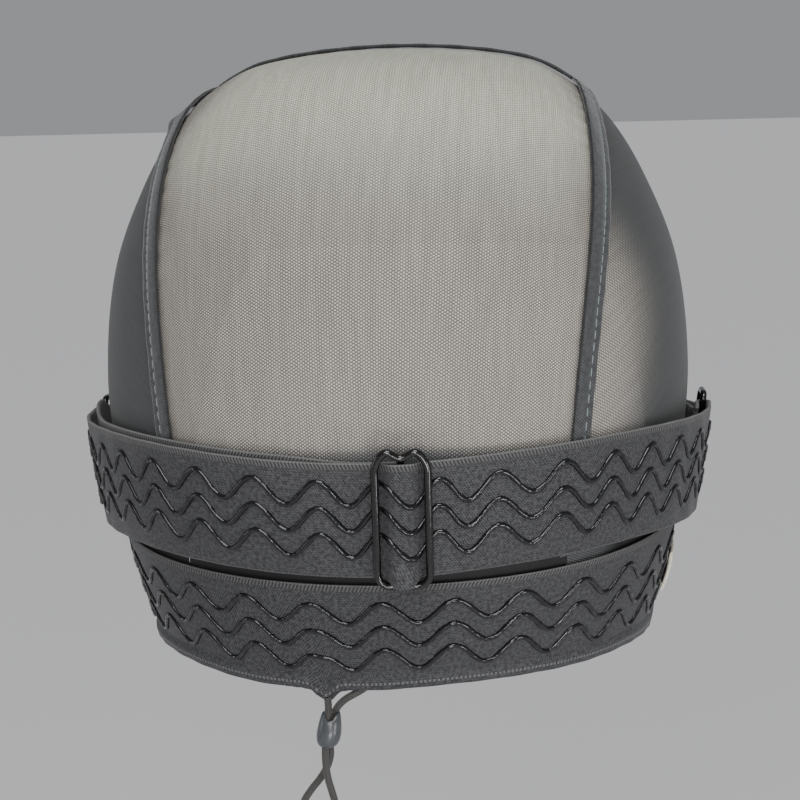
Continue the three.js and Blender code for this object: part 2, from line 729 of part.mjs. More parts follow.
// Lengths from one end to another, with more of them near the slide
function strapLengths(from, to, step) {
  const close = [-1.4, -1.1, -0.9, -0.72, -0.54, -0.36, -0.18, 0, 0.18, 0.36, 0.54, 0.72, 0.9, 1.1, 1.4]
    .map((k) => SLIDE_PLACE + k * SLIDE_BAR_REACH);
  const reach = 1.6 * SLIDE_BAR_REACH;
  const count = Math.round(Math.abs(to - from) / step);
  const spread = Array.from({ length: count + 1 }, (_, i) => lerp(from, to, i / count));
  const low = Math.min(from, to);
  const high = Math.max(from, to);
  return spread.filter((s) => Math.abs(s - SLIDE_PLACE) > reach)
    .concat(close.filter((s) => s > low && s < high))
    .sort((a, b) => (to > from ? a - b : b - a));
}

function adjusterStrap() {
  const barSide = SLIDE_PLACE - SLIDE_BAR_WIRE / 2 - PIECE_GAP;
  const flapCount = 2;
  const returnCount = 18;
  const flap = Array.from({ length: flapCount + 1 }, (_, i) => (
    returningStation(RING_LENGTH - RETURN_FLAP_LENGTH * (1 - i / flapCount))));
  const running = strapLengths(RING_LENGTH, -RING_LENGTH, STRAP_STEP).map(runningStation);
  const inner = Array.from({ length: returnCount + 1 }, (_, i) => (
    returningStation(lerp(-RING_LENGTH, barSide, i / returnCount))));
  const stations = [
    ...flap,
    ...foldStations(RIGHT, 6).reverse(),
    ...running,
    ...foldStations(LEFT, 6),
    ...inner,
  ];
  return slab(stations.length - 1, 3, (u, v, i) => stations[i](v));
}

add('adjuster_strap', adjusterStrap(), 'elastic');

// Raised waves: a three-sided bead on a band's outer face, whose place is given by length and drop
function waveBead(lengths, place, drop, sides = 3) {
  const vertices = [];
  const triangles = [];
  const nudge = 0.05;
  lengths.forEach((length, i) => {
    const before = lengths[Math.max(i - 1, 0)];
    const after = lengths[Math.min(i + 1, lengths.length - 1)];
    const along = place(after, drop(after)).sub(place(before, drop(before))).normalize();
    const level = place(length + nudge, drop(length)).sub(place(length - nudge, drop(length)));
    const steep = place(length, drop(length) - nudge).sub(place(length, drop(length) + nudge));
    const up = level.cross(steep).normalize();
    const across = along.cross(up).normalize().multiplyScalar(WAVE_WIDTH / 2);
    const foot = place(length, drop(length)).addScaledVector(up, WAVE_GAP);
    const face = foot.clone().addScaledVector(up, WAVE_HEIGHT);
    vertices.push(foot.clone().add(across), face, foot.clone().sub(across));
  });
  for (let i = 0; i < lengths.length - 1; i += 1) {
    for (let k = 0; k < sides; k += 1) {
      const a = i * sides + k;
      const b = i * sides + (k + 1) % sides;
      triangles.push([a, b, b + sides], [a, b + sides, a + sides]);
    }
  }
  const end = (lengths.length - 1) * sides;
  triangles.push([0, 2, 1], [end, end + 1, end + 2]);
  return closedBody(vertices, triangles);
}

function waveDrop(wave, row, length) {
  const turn = 2 * Math.PI * (length - wave.phase) / wave.pitch;
  return wave.first + row * wave.rowStep - wave.swing * Math.cos(turn);
}

function waveLengths(wave, end) {
  const step = wave.pitch / WAVE_STEP_COUNT;
  const first = Math.ceil((-end - wave.phase) / step);
  const last = Math.floor((end - wave.phase) / step);
  return Array.from({ length: last - first + 1 }, (_, i) => wave.phase + (first + i) * step);
}

// Over the slide the bead takes the strap's own stations
function strapWave(row) {
  const reach = 1.6 * SLIDE_BAR_REACH;
  const end = RING_LENGTH - WAVE_END_MARGIN;
  const lengths = waveLengths(STRAP_WAVE, end)
    .filter((s) => Math.abs(s - SLIDE_PLACE) > reach)
    .concat(strapLengths(-end, end, STRAP_STEP).filter((s) => Math.abs(s - SLIDE_PLACE) <= reach))
    .sort((a, b) => a - b);
  const place = (length, drop) => (
    strapPoint(length, drop / STRAP_WIDTH, runningOut(length) + ELASTIC_THICKNESS));
  return waveBead(lengths, place, (length) => waveDrop(STRAP_WAVE, row, length));
}

function napeWave(row) {
  const end = napeGirth.lengthAt(NAPE_END_ANGLE) - WAVE_END_MARGIN;
  const place = (length, drop) => (
    napePoint(napeGirth.angleAt(length), drop / NAPE_HEIGHT, ELASTIC_THICKNESS));
  return waveBead(waveLengths(NAPE_WAVE, end), place, (length) => waveDrop(NAPE_WAVE, row, length));
}

for (let row = 0; row < WAVE_ROW_COUNT; row += 1) {
  add(`strap_wave_${row + 1}`, strapWave(row), 'silicone');
  add(`nape_wave_${row + 1}`, napeWave(row), 'silicone');
}

// Slide buckle: a bent wire frame whose top and bottom dip to its middle bar

// Rectangle with round corners, as points counted round from the middle of its right side
function roundedOutline(halfWidth, halfHeight, corner, perCorner) {
  const points = [];
  const centres = [[1, 1, 0], [-1, 1, 90], [-1, -1, 180], [1, -1, 270]];
  for (const [sx, sy, start] of centres) {
    for (let i = 0; i <= perCorner; i += 1) {
      const turn = (start + 90 * i / perCorner) * RADIANS;
      const x = sx * (halfWidth - corner) + corner * Math.cos(turn);
      points.push([x, sy * (halfHeight - corner) + corner * Math.sin(turn)]);
    }
    if (start === 0) points.push([0, halfHeight]);
    if (start === 180) points.push([0, -halfHeight]);
    if (start === 90) points.push([-halfWidth, 0]);
    if (start === 270) points.push([halfWidth, 0]);
  }
  return points;
}

// The plane of a stiff wire piece, from its upper and lower point and the way across
function wirePlane(top, bottom, across) {
  const up = top.clone().sub(bottom).normalize();
  const out = across.clone().cross(up).normalize();
  const centre = top.clone().add(bottom).multiplyScalar(0.5);
  const place = (x, z) => centre.clone().addScaledVector(across, x).addScaledVector(up, z);
  return { up, out, place };
}

function slideBuckle() {
  const top = strapPoint(SLIDE_PLACE, 0, SLIDE_WIRE_LEVEL);
  const bottom = strapPoint(SLIDE_PLACE, 1, SLIDE_WIRE_LEVEL);
  const nudge = 0.5;
  const rightward = strapPoint(SLIDE_PLACE + nudge, 0.5, 0);
  const across = rightward.sub(strapPoint(SLIDE_PLACE - nudge, 0.5, 0)).setZ(0).normalize();
  const plane = wirePlane(top, bottom, across);
  const halfHeight = SLIDE_HEIGHT / 2 - SLIDE_WIRE / 2;
  const outline = roundedOutline(SLIDE_BAR_REACH, halfHeight, SLIDE_CORNER, 4);
  const points = outline.map(([x, z]) => {
    const dip = SLIDE_DIP * Math.max(0, 1 - Math.abs(x) / (SLIDE_BAR_REACH * 0.45));
    return plane.place(x, z - (z > 0 ? dip : 0));
  });
  const frame = toSolid(wireLoop(points, SLIDE_WIRE / 2, plane.out));
  const barTop = halfHeight - SLIDE_DIP;
  const barLength = barTop + halfHeight;
  const bar = new THREE.CylinderGeometry(SLIDE_BAR_WIRE / 2, SLIDE_BAR_WIRE / 2, barLength, 8);
  bar.applyQuaternion(new THREE.Quaternion().setFromUnitVectors(new THREE.Vector3(0, 1, 0), plane.up));
  const barCentre = plane.place(0, (barTop - halfHeight) / 2);
  barCentre.addScaledVector(plane.out, -SLIDE_BAR_SETBACK);
  bar.translate(...barCentre.toArray());
  return toGeometry(frame.add(toSolid(bar)));
}

add('slide_buckle', slideBuckle(), 'wire');

// Rings and the tabs that hold them to the cap

function ringFarBar(side) {
  const near = ringBar(side, 0.5);
  const angle = RING_ANGLE + (RING_DEPTH - RING_WIRE) / strapGirth.lengthAt(RING_ANGLE) * RING_ANGLE;
  const inset = section(RING_ANGLE, strapMidZ).x - section(angle, strapMidZ).x;
  return near.clone().add(new THREE.Vector3(-side * inset, RING_DEPTH - RING_WIRE, 0));
}

function strapRing(side) {
  const near = ringBar(side, 0.5);
  const across = ringFarBar(side).sub(near);
  const halfDepth = across.length() / 2;
  across.normalize();
  const up = ringBar(side, 0).sub(ringBar(side, 1)).normalize();
  const out = across.clone().cross(up).normalize();
  const centre = near.clone().addScaledVector(across, halfDepth);
  const outline = roundedOutline(halfDepth, RING_HEIGHT / 2 - RING_WIRE / 2, RING_CORNER, 3);
  const place = (x, z) => centre.clone().addScaledVector(across, x).addScaledVector(up, z);
  const points = outline.map(([x, z]) => place(x, z));
  return wireLoop(points, RING_WIRE / 2, out);
}

// Tab of plain elastic: from the side of the cap, round the ring's far bar and back onto itself
function ringTab(side) {
  const far = ringFarBar(side);
  const up = ringBar(side, 0).sub(ringBar(side, 1)).normalize();
  const near = RING_WIRE / 2 + PIECE_GAP;
  const outward = new THREE.Vector3(side, 0, 0);
  const stations = [];
  // Both legs lie towards the front and close in on the skin, the outer one over the inner one
  const leg = (k, facing) => (height) => {
    const centre = far.clone().addScaledVector(up, height);
    centre.add(new THREE.Vector3(0, k * RING_TAB_LENGTH, 0));
    const reach = PIECE_GAP + ELASTIC_THICKNESS + PIECE_GAP / 2;
    const settled = side * (skinHalfWidth(centre.y, centre.z) + reach);
    const half = lerp(near, PIECE_GAP / 2, k);
    centre.setX(lerp(centre.x, settled, k));
    return [
      centre.clone().addScaledVector(outward, facing * half),
      centre.clone().addScaledVector(outward, facing * (half + ELASTIC_THICKNESS)),
    ];
  };
  const bend = (turn) => (height) => {
    const centre = far.clone().addScaledVector(up, height);
    const rim = new THREE.Vector3(0, -Math.sin(turn), 0).addScaledVector(outward, Math.cos(turn));
    return [
      centre.clone().addScaledVector(rim, near),
      centre.clone().addScaledVector(rim, near + ELASTIC_THICKNESS),
    ];
  };
  for (const k of [1, 0.5, 0]) stations.push(leg(k, 1));
  for (let i = 1; i < 6; i += 1) stations.push(bend(Math.PI * i / 6));
  for (const k of [0, 0.5, 1]) stations.push(leg(k, -1));
  return slab(stations.length - 1, 2, (u, v, i) => stations[i]((0.5 - v) * RING_TAB_HEIGHT));
}

for (const [word, side] of [['left', LEFT], ['right', RIGHT]]) {
  add(`${word}_strap_ring`, strapRing(side), 'wire');
  add(`${word}_ring_tab`, ringTab(side), 'elastic');
}

// Side label: a blank folded tab on the right end of the nape band
function sideLabel() {
  const start = napeGirth.lengthAt(LABEL_ANGLE);
  return slab(3, 4, (u, v) => {
    const angle = napeGirth.angleAt(start + u * LABEL_LENGTH);
    const share = (LABEL_DROP + v * LABEL_HEIGHT) / NAPE_HEIGHT;
    const bow = LABEL_BOW * Math.sin(Math.PI * v);
    const out = ELASTIC_THICKNESS + WAVE_STAND + PIECE_GAP + bow;
    return [napePoint(angle, share, out), napePoint(angle, share, out + LABEL_THICKNESS)];
  });
}

add('side_label', sideLabel(), 'label');

// Drawstring and stopper, both placed from the hem where the cord leaves it

const CORD_EXIT = section(napeGirth.angleAt(FUNNEL_PLACE), HEM_Z);

function drawstring() {
  const points = CORD_ROUTE.map((p) => new THREE.Vector3(...p).add(CORD_EXIT));
  const curve = new THREE.CatmullRomCurve3(points);
  const round = new THREE.Shape();
  for (let k = 0; k < CORD_SIDE_COUNT; k += 1) {
    const turn = 2 * Math.PI * k / CORD_SIDE_COUNT;
    const x = CORD_DIAMETER / 2 * Math.cos(turn);
    const y = CORD_DIAMETER / 2 * Math.sin(turn);
    if (k === 0) round.moveTo(x, y);
    else round.lineTo(x, y);
  }
  round.closePath();
  const options = { steps: CORD_STEP_COUNT, bevelEnabled: false, extrudePath: curve };
  return new THREE.ExtrudeGeometry(round, options);
}

// Bean of plastic, open from top to bottom, that both strands pass through
function cordStopper(rings, sides) {
  const centre = new THREE.Vector3(...STOPPER_PLACE).add(CORD_EXIT);
  const strandReach = CORD_DIAMETER / 2 + STOPPER_CLEARANCE / 2;
  const vertices = [];
  const triangles = [];
  const ring = (halfX, halfY, z) => {
    for (let k = 0; k < sides; k += 1) {
      const turn = 2 * Math.PI * k / sides;
      const x = halfX * Math.cos(turn) + STOPPER_LEAN * z;
      vertices.push(centre.clone().add(new THREE.Vector3(x, halfY * Math.sin(turn), z)));
    }
  };
  for (let i = 0; i <= rings; i += 1) {
    const turn = lerp(-0.86, 0.66, i / rings) * Math.PI / 2;
    const belly = Math.cos(turn) ** 0.8;
    const z = STOPPER_HEIGHT / 2 * (2 * i / rings - 1);
    ring(STOPPER_WIDTH / 2 * Math.max(belly, 0.9), STOPPER_THICKNESS / 2 * Math.max(belly, 0.9), z);
  }
  for (const z of [STOPPER_HEIGHT / 2, -STOPPER_HEIGHT / 2]) {
    ring(STRAND_SPREAD + strandReach, STRAND_SPREAD + strandReach, z);
  }
  const loops = rings + 3;
  for (let i = 0; i < loops; i += 1) {
    for (let k = 0; k < sides; k += 1) {
      const a = i * sides + k;
      const b = i * sides + (k + 1) % sides;
      const c = ((i + 1) % loops) * sides + (k + 1) % sides;
      const d = ((i + 1) % loops) * sides + k;
      triangles.push([a, b, c], [a, c, d]);
    }
  }
  return closedBody(vertices, triangles);
}

add('drawstring', drawstring(), 'cord');
add('cord_stopper', cordStopper(8, 14), 'stopper');

export default object;
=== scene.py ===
import math

import bpy
import numpy as np
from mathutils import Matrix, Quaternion, Vector


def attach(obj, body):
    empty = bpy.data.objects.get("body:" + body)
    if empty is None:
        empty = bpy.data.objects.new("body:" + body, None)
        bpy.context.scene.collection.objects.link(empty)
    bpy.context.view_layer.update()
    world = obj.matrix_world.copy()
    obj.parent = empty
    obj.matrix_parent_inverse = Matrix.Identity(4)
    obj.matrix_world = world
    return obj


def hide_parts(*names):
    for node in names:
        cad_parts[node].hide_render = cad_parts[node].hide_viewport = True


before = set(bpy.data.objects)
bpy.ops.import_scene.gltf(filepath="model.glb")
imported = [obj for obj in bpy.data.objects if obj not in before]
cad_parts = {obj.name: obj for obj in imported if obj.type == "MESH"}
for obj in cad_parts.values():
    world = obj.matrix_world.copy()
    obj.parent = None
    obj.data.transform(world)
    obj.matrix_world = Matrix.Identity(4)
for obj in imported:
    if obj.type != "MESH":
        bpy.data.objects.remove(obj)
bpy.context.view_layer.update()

# Studio
# A plain pale floor under one wide soft light from above and six soft lamps, which put the bright
# lines on the wires and the silicone. The camera stands behind the cap and looks slightly down.
CAMERA_PLACE = (0.0551, -0.5194, -0.0159)
CAMERA_LENS = 87.5
SIGHT_TURN = math.radians(6.1)
SIGHT_DROP = math.radians(8.4)
SIGHT_ROLL = math.radians(1.4)
LAMP_AIM = (0, 0, -0.08)
SKY_DIRECTION = (-0.15, 0.50, -0.85)
FLOOR_Z = -0.45
FLOOR_REACH = 60

camera_data = bpy.data.cameras.new("camera")
camera_data.lens = CAMERA_LENS
camera_data.sensor_width = 36
camera_data.clip_start = 0.01
camera = bpy.data.objects.new("camera", camera_data)
bpy.context.scene.collection.objects.link(camera)
sight = Vector((
    -math.sin(SIGHT_TURN) * math.cos(SIGHT_DROP),
    math.cos(SIGHT_TURN) * math.cos(SIGHT_DROP),
    -math.sin(SIGHT_DROP),
))
camera.location = CAMERA_PLACE
camera.rotation_mode = "QUATERNION"
camera.rotation_quaternion = sight.to_track_quat("-Z", "Y") @ Quaternion((0, 0, 1), -SIGHT_ROLL)
bpy.context.scene.camera = camera


def softbox(name, place, width, height, power):
    lamp = bpy.data.lights.new(name, "AREA")
    lamp.shape = "RECTANGLE"
    lamp.size, lamp.size_y, lamp.energy = width, height, power
    holder = bpy.data.objects.new(name, lamp)
    holder.location = place
    aim = Vector(LAMP_AIM) - Vector(place)
    holder.rotation_euler = aim.to_track_quat("-Z", "Y").to_euler()
    bpy.context.scene.collection.objects.link(holder)


softbox("front_lamp", (-0.05, -1.15, 0.35), 0.5, 0.4, 5.0)
softbox("near_lamp", (0.08, -0.58, -0.10), 0.10, 0.08, 0.6)
softbox("low_lamp", (0.16, -0.60, -0.36), 0.20, 0.06, 0.9)
softbox("low_right_lamp", (0.42, -0.36, -0.27), 0.10, 0.20, 0.7)
softbox("right_strip", (0.62, -0.72, -0.02), 0.12, 0.35, 0.3)
softbox("left_strip", (-0.9, -0.15, 0.0), 0.08, 0.4, 0.7)

sky_light = bpy.data.lights.new("soft_key", "SUN")
sky_light.energy, sky_light.angle = 2.2, math.radians(35)
sky_holder = bpy.data.objects.new("soft_key", sky_light)
sky_holder.rotation_euler = Vector(SKY_DIRECTION).to_track_quat("-Z", "Y").to_euler()
bpy.context.scene.collection.objects.link(sky_holder)

world = bpy.data.worlds.new("studio")
world.use_nodes = True
world.node_tree.nodes["Background"].inputs["Color"].default_value = (0.80, 0.81, 0.83, 1)
world.node_tree.nodes["Background"].inputs["Strength"].default_value = 0.38
bpy.context.scene.world = world

floor_mesh = bpy.data.meshes.new("floor")
floor_signs = (-1, -1), (1, -1), (1, 1), (-1, 1)
floor_corners = [(x * FLOOR_REACH, y * FLOOR_REACH, FLOOR_Z) for x, y in floor_signs]
floor_mesh.from_pydata(floor_corners, [], [(0, 1, 2, 3)])
floor = bpy.data.objects.new("floor", floor_mesh)
bpy.context.scene.collection.objects.link(floor)
floor_paint = bpy.data.materials.new("floor_paint")
floor_paint.use_nodes = True
floor_skin = floor_paint.node_tree.nodes["Principled BSDF"]
floor_skin.inputs["Base Color"].default_value = (0.56, 0.56, 0.57, 1)
floor_skin.inputs["Roughness"].default_value = 0.9
floor_mesh.materials.append(floor_paint)


# Drawstring
# A thin round elastic cord with a braided cover. It leaves the hem through a funnel, passes down
# through the stopper, makes one small loop and goes back up into the hem.
CORD_DIAMETER = 0.0018
CORD_SIDES = 20
BRAID_PITCH = 0.0008
BRAID_LEAN = 0.0048
CORD_DARK = (0.012, 0.011, 0.010)
CORD_LIGHT = (0.040, 0.037, 0.034)
CORD_ROUTE = [
    (-0.0123, -0.0697, -0.1553),
    (-0.0121, -0.0703, -0.1571),
    (-0.0120, -0.0715, -0.1593),
    (-0.0123, -0.0720, -0.1617),
    (-0.0126, -0.0720, -0.1643),
    (-0.0129, -0.0720, -0.1669),
    (-0.0129, -0.0722, -0.1697),
    (-0.0127, -0.0724, -0.1725),
    (-0.0122, -0.0725, -0.1753),
    (-0.0115, -0.0723, -0.1781),
    (-0.0109, -0.0720, -0.1809),
    (-0.0106, -0.0717, -0.1841),
    (-0.0107, -0.0713, -0.1868),
    (-0.0119, -0.0710, -0.1898),
    (-0.0151, -0.0707, -0.1912),
    (-0.0183, -0.0704, -0.1898),
    (-0.0195, -0.0702, -0.1868),
    (-0.0196, -0.0700, -0.1847),
    (-0.0188, -0.0699, -0.1813),
    (-0.0169, -0.0698, -0.1783),
    (-0.0147, -0.0698, -0.1755),
    (-0.0129, -0.0698, -0.1725),
    (-0.0120, -0.0700, -0.1697),
    (-0.0119, -0.0701, -0.1669),
    (-0.0116, -0.0701, -0.1643),
    (-0.0113, -0.0701, -0.1617),
    (-0.0108, -0.0702, -0.1593),
    (-0.0097, -0.0705, -0.1571),
    (-0.0079, -0.0708, -0.1553),
    (-0.0061, -0.0708, -0.1542),
    (-0.0045, -0.0704, -0.1534),
    (-0.0029, -0.0697, -0.1525),
    (-0.0015, -0.0686, -0.1514),
    (-0.0005, -0.0673, -0.1501),
]


class Finish:
    """A material and the nodes that make its surface."""

    def __init__(self, name, **sockets):
        self.material = bpy.data.materials.new(name)
        self.material.use_nodes = True
        self.tree = self.material.node_tree
        self.skin = self.tree.nodes["Principled BSDF"]
        for socket, value in sockets.items():
            self.set(self.skin, socket.replace("_", " "), value)

    def set(self, node, socket, value):
        target = node.inputs[socket]
        if isinstance(value, bpy.types.NodeSocket):
            self.tree.links.new(value, target)
        elif target.type == "RGBA" and len(value) == 3:
            target.default_value = (*value, 1)
        else:
            target.default_value = value

    def add(self, kind, inputs=(), **settings):
        node = self.tree.nodes.new("ShaderNode" + kind)
        for key, value in settings.items():
            setattr(node, key, value)
        for socket, value in dict(inputs).items():
            self.set(node, socket, value)
        return node

    def maths(self, operation, *values):
        return self.add("Math", enumerate(values), operation=operation).outputs[0]

    def threads(self):
        """The three values of the piece's mesh: lengths along and across its cloth, and one more."""
        carried = self.add("Attribute", attribute_name="threads").outputs["Vector"]
        return self.add("SeparateXYZ", {"Vector": carried}).outputs

    def place(self, along, across, depth=0.0):
        return self.add("CombineXYZ", {"X": along, "Y": across, "Z": depth}).outputs[0]

    def noise(self, vector, scale, detail=2.0):
        settings = {"Vector": vector, "Scale": scale, "Detail": detail}
        return self.add("TexNoise", settings).outputs["Fac"]

    def wave(self, length, spacing, lean=0.0):
        """Cosine along a length, its phase shifted by lean turns."""
        turns = self.maths("MULTIPLY_ADD", length, 2 * math.pi / spacing, lean)
        return self.maths("COSINE", turns)

    def spread(self, value, low, high, to_low=0.0, to_high=1.0):
        inputs = {"Value": value, "From Min": low, "From Max": high, "To Min": to_low, "To Max": to_high}
        return self.add("MapRange", inputs, interpolation_type="SMOOTHSTEP").outputs[0]

    def blend(self, share, low, high):
        """Colour between two colours."""
        inputs = {"Factor": share, "A": low, "B": high}
        mix = self.add("Mix", data_type="RGBA")
        for socket, value in inputs.items():
            target = [s for s in mix.inputs if s.name == socket and s.enabled][0]
            if isinstance(value, bpy.types.NodeSocket):
                self.tree.links.new(value, target)
            else:
                target.default_value = (*value, 1) if target.type == "RGBA" else value
        return [s for s in mix.outputs if s.enabled][0]

    def relief(self, height, depth, strength=1.0):
        """Fine relief of the surface, its depth in metres."""
        bump = self.add("Bump", {"Height": height, "Distance": depth, "Strength": strength})
        self.set(self.skin, "Normal", bump.outputs[0])


def shape_piece(name, points, faces, threads, finish, slot, node=None):
    """A mesh piece that rides on the cap, with the lengths that its weave follows."""
    mesh = bpy.data.meshes.new(name)
    mesh.from_pydata(np.asarray(points, float).reshape(-1, 3).tolist(), [], faces)
    mesh.validate()
    mesh.shade_smooth()
    carried = mesh.attributes.new("threads", "FLOAT_VECTOR", "POINT")
    carried.data.foreach_set("vector", np.asarray(threads, np.float32).reshape(-1))
    mesh.materials.append(finish.material)
    piece = bpy.data.objects.new(name, mesh)
    bpy.context.scene.collection.objects.link(piece)
    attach(piece, "root")
    if node:
        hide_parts(node)
    return piece


def smooth_route(points, steps):
    """Catmull-Rom points through a route, its spans measured by the root of their lengths."""
    points = np.asarray(points, float)
    points = np.vstack([2 * points[0] - points[1], points, 2 * points[-1] - points[-2]])
    knots = np.concatenate([[0], np.cumsum(np.linalg.norm(np.diff(points, axis=0), axis=1) ** 0.5)])
    made = []
    for i in range(1, len(points) - 2):
        k = knots[i - 1:i + 3]
        for t in np.linspace(k[1], k[2], steps, endpoint=False):
            a = [((k[j + 1] - t) * points[i + j - 1] + (t - k[j]) * points[i + j]) / (k[j + 1] - k[j])
                 for j in range(3)]
            b = [((k[j + 2] - t) * a[j] + (t - k[j]) * a[j + 1]) / (k[j + 2] - k[j]) for j in range(2)]
            made.append(((k[2] - t) * b[0] + (t - k[1]) * b[1]) / (k[2] - k[1]))
    return np.array(made + [points[-2]])


def run_lengths(path):
    return np.concatenate([[0], np.cumsum(np.linalg.norm(np.diff(path, axis=0), axis=1))])


def round_wire(path, radius, sides, closed=False):
    """Points, faces and threads of a round tube along a path."""
    count = len(path)
    tangents = np.roll(path, -1, 0) - np.roll(path, 1, 0)
    if not closed:
        tangents[0], tangents[-1] = path[1] - path[0], path[-1] - path[-2]
    tangents /= np.linalg.norm(tangents, axis=1)[:, None]
    side = np.cross(tangents[0], (0, 0, 1) if abs(tangents[0][2]) < 0.8 else (0, 1, 0))
    turns = np.linspace(0, 2 * math.pi, sides, endpoint=False)
    rings, threads = [], []
    lengths = run_lengths(path)
    for point, tangent, length in zip(path, tangents, lengths):
        side = side - tangent * side.dot(tangent)
        side /= np.linalg.norm(side)
        up = np.cross(tangent, side)
        rings.append(point + radius * (np.cos(turns)[:, None] * side + np.sin(turns)[:, None] * up))
        threads.append(np.column_stack([turns / (2 * math.pi), np.full(sides, length), np.zeros(sides)]))
    faces = []
    for i in range(count if closed else count - 1):
        j = (i + 1) % count
        for k in range(sides):
            m = (k + 1) % sides
            faces.append((i * sides + k, i * sides + m, j * sides + m, j * sides + k))
    if not closed:
        faces.append(tuple(range(sides))[::-1])
        faces.append(tuple(range((count - 1) * sides, count * sides)))
    return np.concatenate(rings), faces, np.concatenate(threads)


cord_cover = Finish("cord_cover", Roughness=0.6, Sheen_Weight=0.25, Sheen_Roughness=0.4)
round_turn, along, _ = cord_cover.threads()
lean_one = cord_cover.wave(cord_cover.maths("MULTIPLY_ADD", round_turn, BRAID_LEAN, along), BRAID_PITCH)
lean_two = cord_cover.wave(cord_cover.maths("MULTIPLY_ADD", round_turn, -BRAID_LEAN, along), BRAID_PITCH)
braid = cord_cover.spread(cord_cover.maths("MAXIMUM", lean_one, lean_two), 0.0, 0.95)
cord_cover.set(cord_cover.skin, "Base Color", cord_cover.blend(braid, CORD_DARK, CORD_LIGHT))
cord_cover.relief(braid, 0.00007)

cord_path = smooth_route(CORD_ROUTE, 8)
drawstring = shape_piece(
    "drawstring_cord", *round_wire(cord_path, CORD_DIAMETER / 2, CORD_SIDES),
    cord_cover, "cord_cloth", "drawstring",
)


# Cord stopper
# A bean of grey moulded plastic with one opening from top to bottom, which grips both strands of
# the cord. The front lip of the opening dips, and the bean leans a little to the right.
STOPPER_CENTRE = np.array([-0.0119, -0.07105, -0.1627])
STOPPER_HEIGHT = 0.0088
STOPPER_WIDTH = 0.0060
STOPPER_THICKNESS = 0.0058
STOPPER_LEAN = 0.13
OPENING_WIDTH = 0.0030
OPENING_DEPTH = 0.0043
LIP_DIP = 0.0017
STOPPER_SIDES = 48
GREY_DARK = (0.026, 0.029, 0.032)
GREY_LIGHT = (0.058, 0.063, 0.069)

# height, girth, and 1 for the points of the opening, as shares of the half sizes
stopper_profile = [(-1.00, 0.40, 0), (-0.98, 0.52, 0), (-0.91, 0.68, 0), (-0.78, 0.84, 0), (-0.58, 0.95, 0),
                   (-0.30, 1.00, 0), (0.00, 0.99, 0), (0.30, 0.94, 0), (0.58, 0.87, 0), (0.80, 0.80, 0),
                   (0.94, 0.74, 0), (1.00, 0.66, 0), (0.985, 0.12, 1), (0.90, 0.02, 1), (0.6, -0.05, 1),
                   (0.0, -0.12, 1), (-0.6, -0.16, 1), (-0.93, -0.2, 1), (-0.99, -0.18, 1)]
turns = np.linspace(0, 2 * math.pi, STOPPER_SIDES, endpoint=False)
rings = []
for height, girth, inside in stopper_profile:
    share = 1 + girth if inside else girth
    half_x = (OPENING_WIDTH if inside else STOPPER_WIDTH) / 2 * share
    half_y = (OPENING_DEPTH if inside else STOPPER_THICKNESS) / 2 * share
    front = np.clip(-np.sin(turns), 0, 1) ** 2
    dip = LIP_DIP * front * np.clip((height - 0.2) / 0.8, 0, 1) ** 2
    z = STOPPER_HEIGHT / 2 * height - dip
    rings.append(STOPPER_CENTRE + np.column_stack([
        half_x * np.cos(turns) + STOPPER_LEAN * z,
        half_y * np.sin(turns),
        z,
    ]))
stopper_faces = []
for i in range(len(rings)):
    j = (i + 1) % len(rings)
    for k in range(STOPPER_SIDES):
        m = (k + 1) % STOPPER_SIDES
        stopper_faces.append(tuple(r * STOPPER_SIDES + s for r, s in ((i, k), (i, m), (j, m), (j, k))))

moulded_grey = Finish("moulded_grey", Roughness=0.32, Coat_Weight=0.25, Coat_Roughness=0.15)
stopper_place = moulded_grey.add("TexCoord").outputs["Object"]
mottle = moulded_grey.noise(stopper_place, 900, 4.0)
moulded_grey.set(moulded_grey.skin, "Base Color", moulded_grey.blend(mottle, GREY_DARK, GREY_LIGHT))
moulded_grey.relief(mottle, 0.00004)
stopper_points = np.concatenate(rings)
stopper = shape_piece(
    "stopper_bean", stopper_points, stopper_faces, stopper_points,
    moulded_grey, "stopper_plastic", "cord_stopper",
)


# Mesh panels
# Sheer stretch mesh, cut in four: two panels over the middle of the head, joined across the crown,
# and one on each side. Its holes are pale. Painted light brightens the upper back, and painted shade
# darkens the sides, the upper corners and the mesh at and behind the strap. It puckers at the seams.
CAP_WIDTH = 0.1544
CAP_DEPTH = 0.154
BACK_REACH = 0.088
FRONT_REACH = 0.098
SECTION_POWER = 2.15
CROWN_Z = 0.001
MESH_INSET = 0.0003
PIVOT_Z = -0.39 * CAP_DEPTH
SEAM_SPACING = 0.052
SEAM_BOW = 0.0021
SEAM_BOW_ANGLE, SEAM_BOW_SPREAD = 68, 36
TEMPLE_SHARE = 0.72
EAR_SHARE = 0.22
EAR_BACK_ANGLE = 98
PUCKER_HEIGHT = 0.00016
PUCKER_REACH = 0.0038
PUCKER_PITCHES = (0.0081, 0.0047)
HOLE_WIDTH, HOLE_HEIGHT = 0.00124, 0.00077
WALE_LEAN = math.radians(35)
# Painted shade on the side panels, on the scale of the mesh's third thread value.
SIDE_PAINTED_SHADE = 0.94
FORM = np.array([
    # depth, width, back reach and front reach, as shares
    [0.000, 0.000, 0.000, 0.000],
    [0.020, 0.425, 0.430, 0.430],
    [0.052, 0.575, 0.590, 0.600],
    [0.123, 0.735, 0.735, 0.760],
    [0.227, 0.860, 0.865, 0.895],
    [0.364, 0.962, 0.955, 0.985],
    [0.539, 1.000, 1.000, 1.000],
    [0.700, 0.975, 0.985, 0.970],
    [0.800, 0.940, 0.935, 0.930],
    [0.900, 0.892, 0.865, 0.870],
    [1.000, 0.834, 0.790, 0.800],
    [1.150, 0.750, 0.680, 0.700],
])
FORM_ROOTS = np.sqrt(FORM[:, 0])


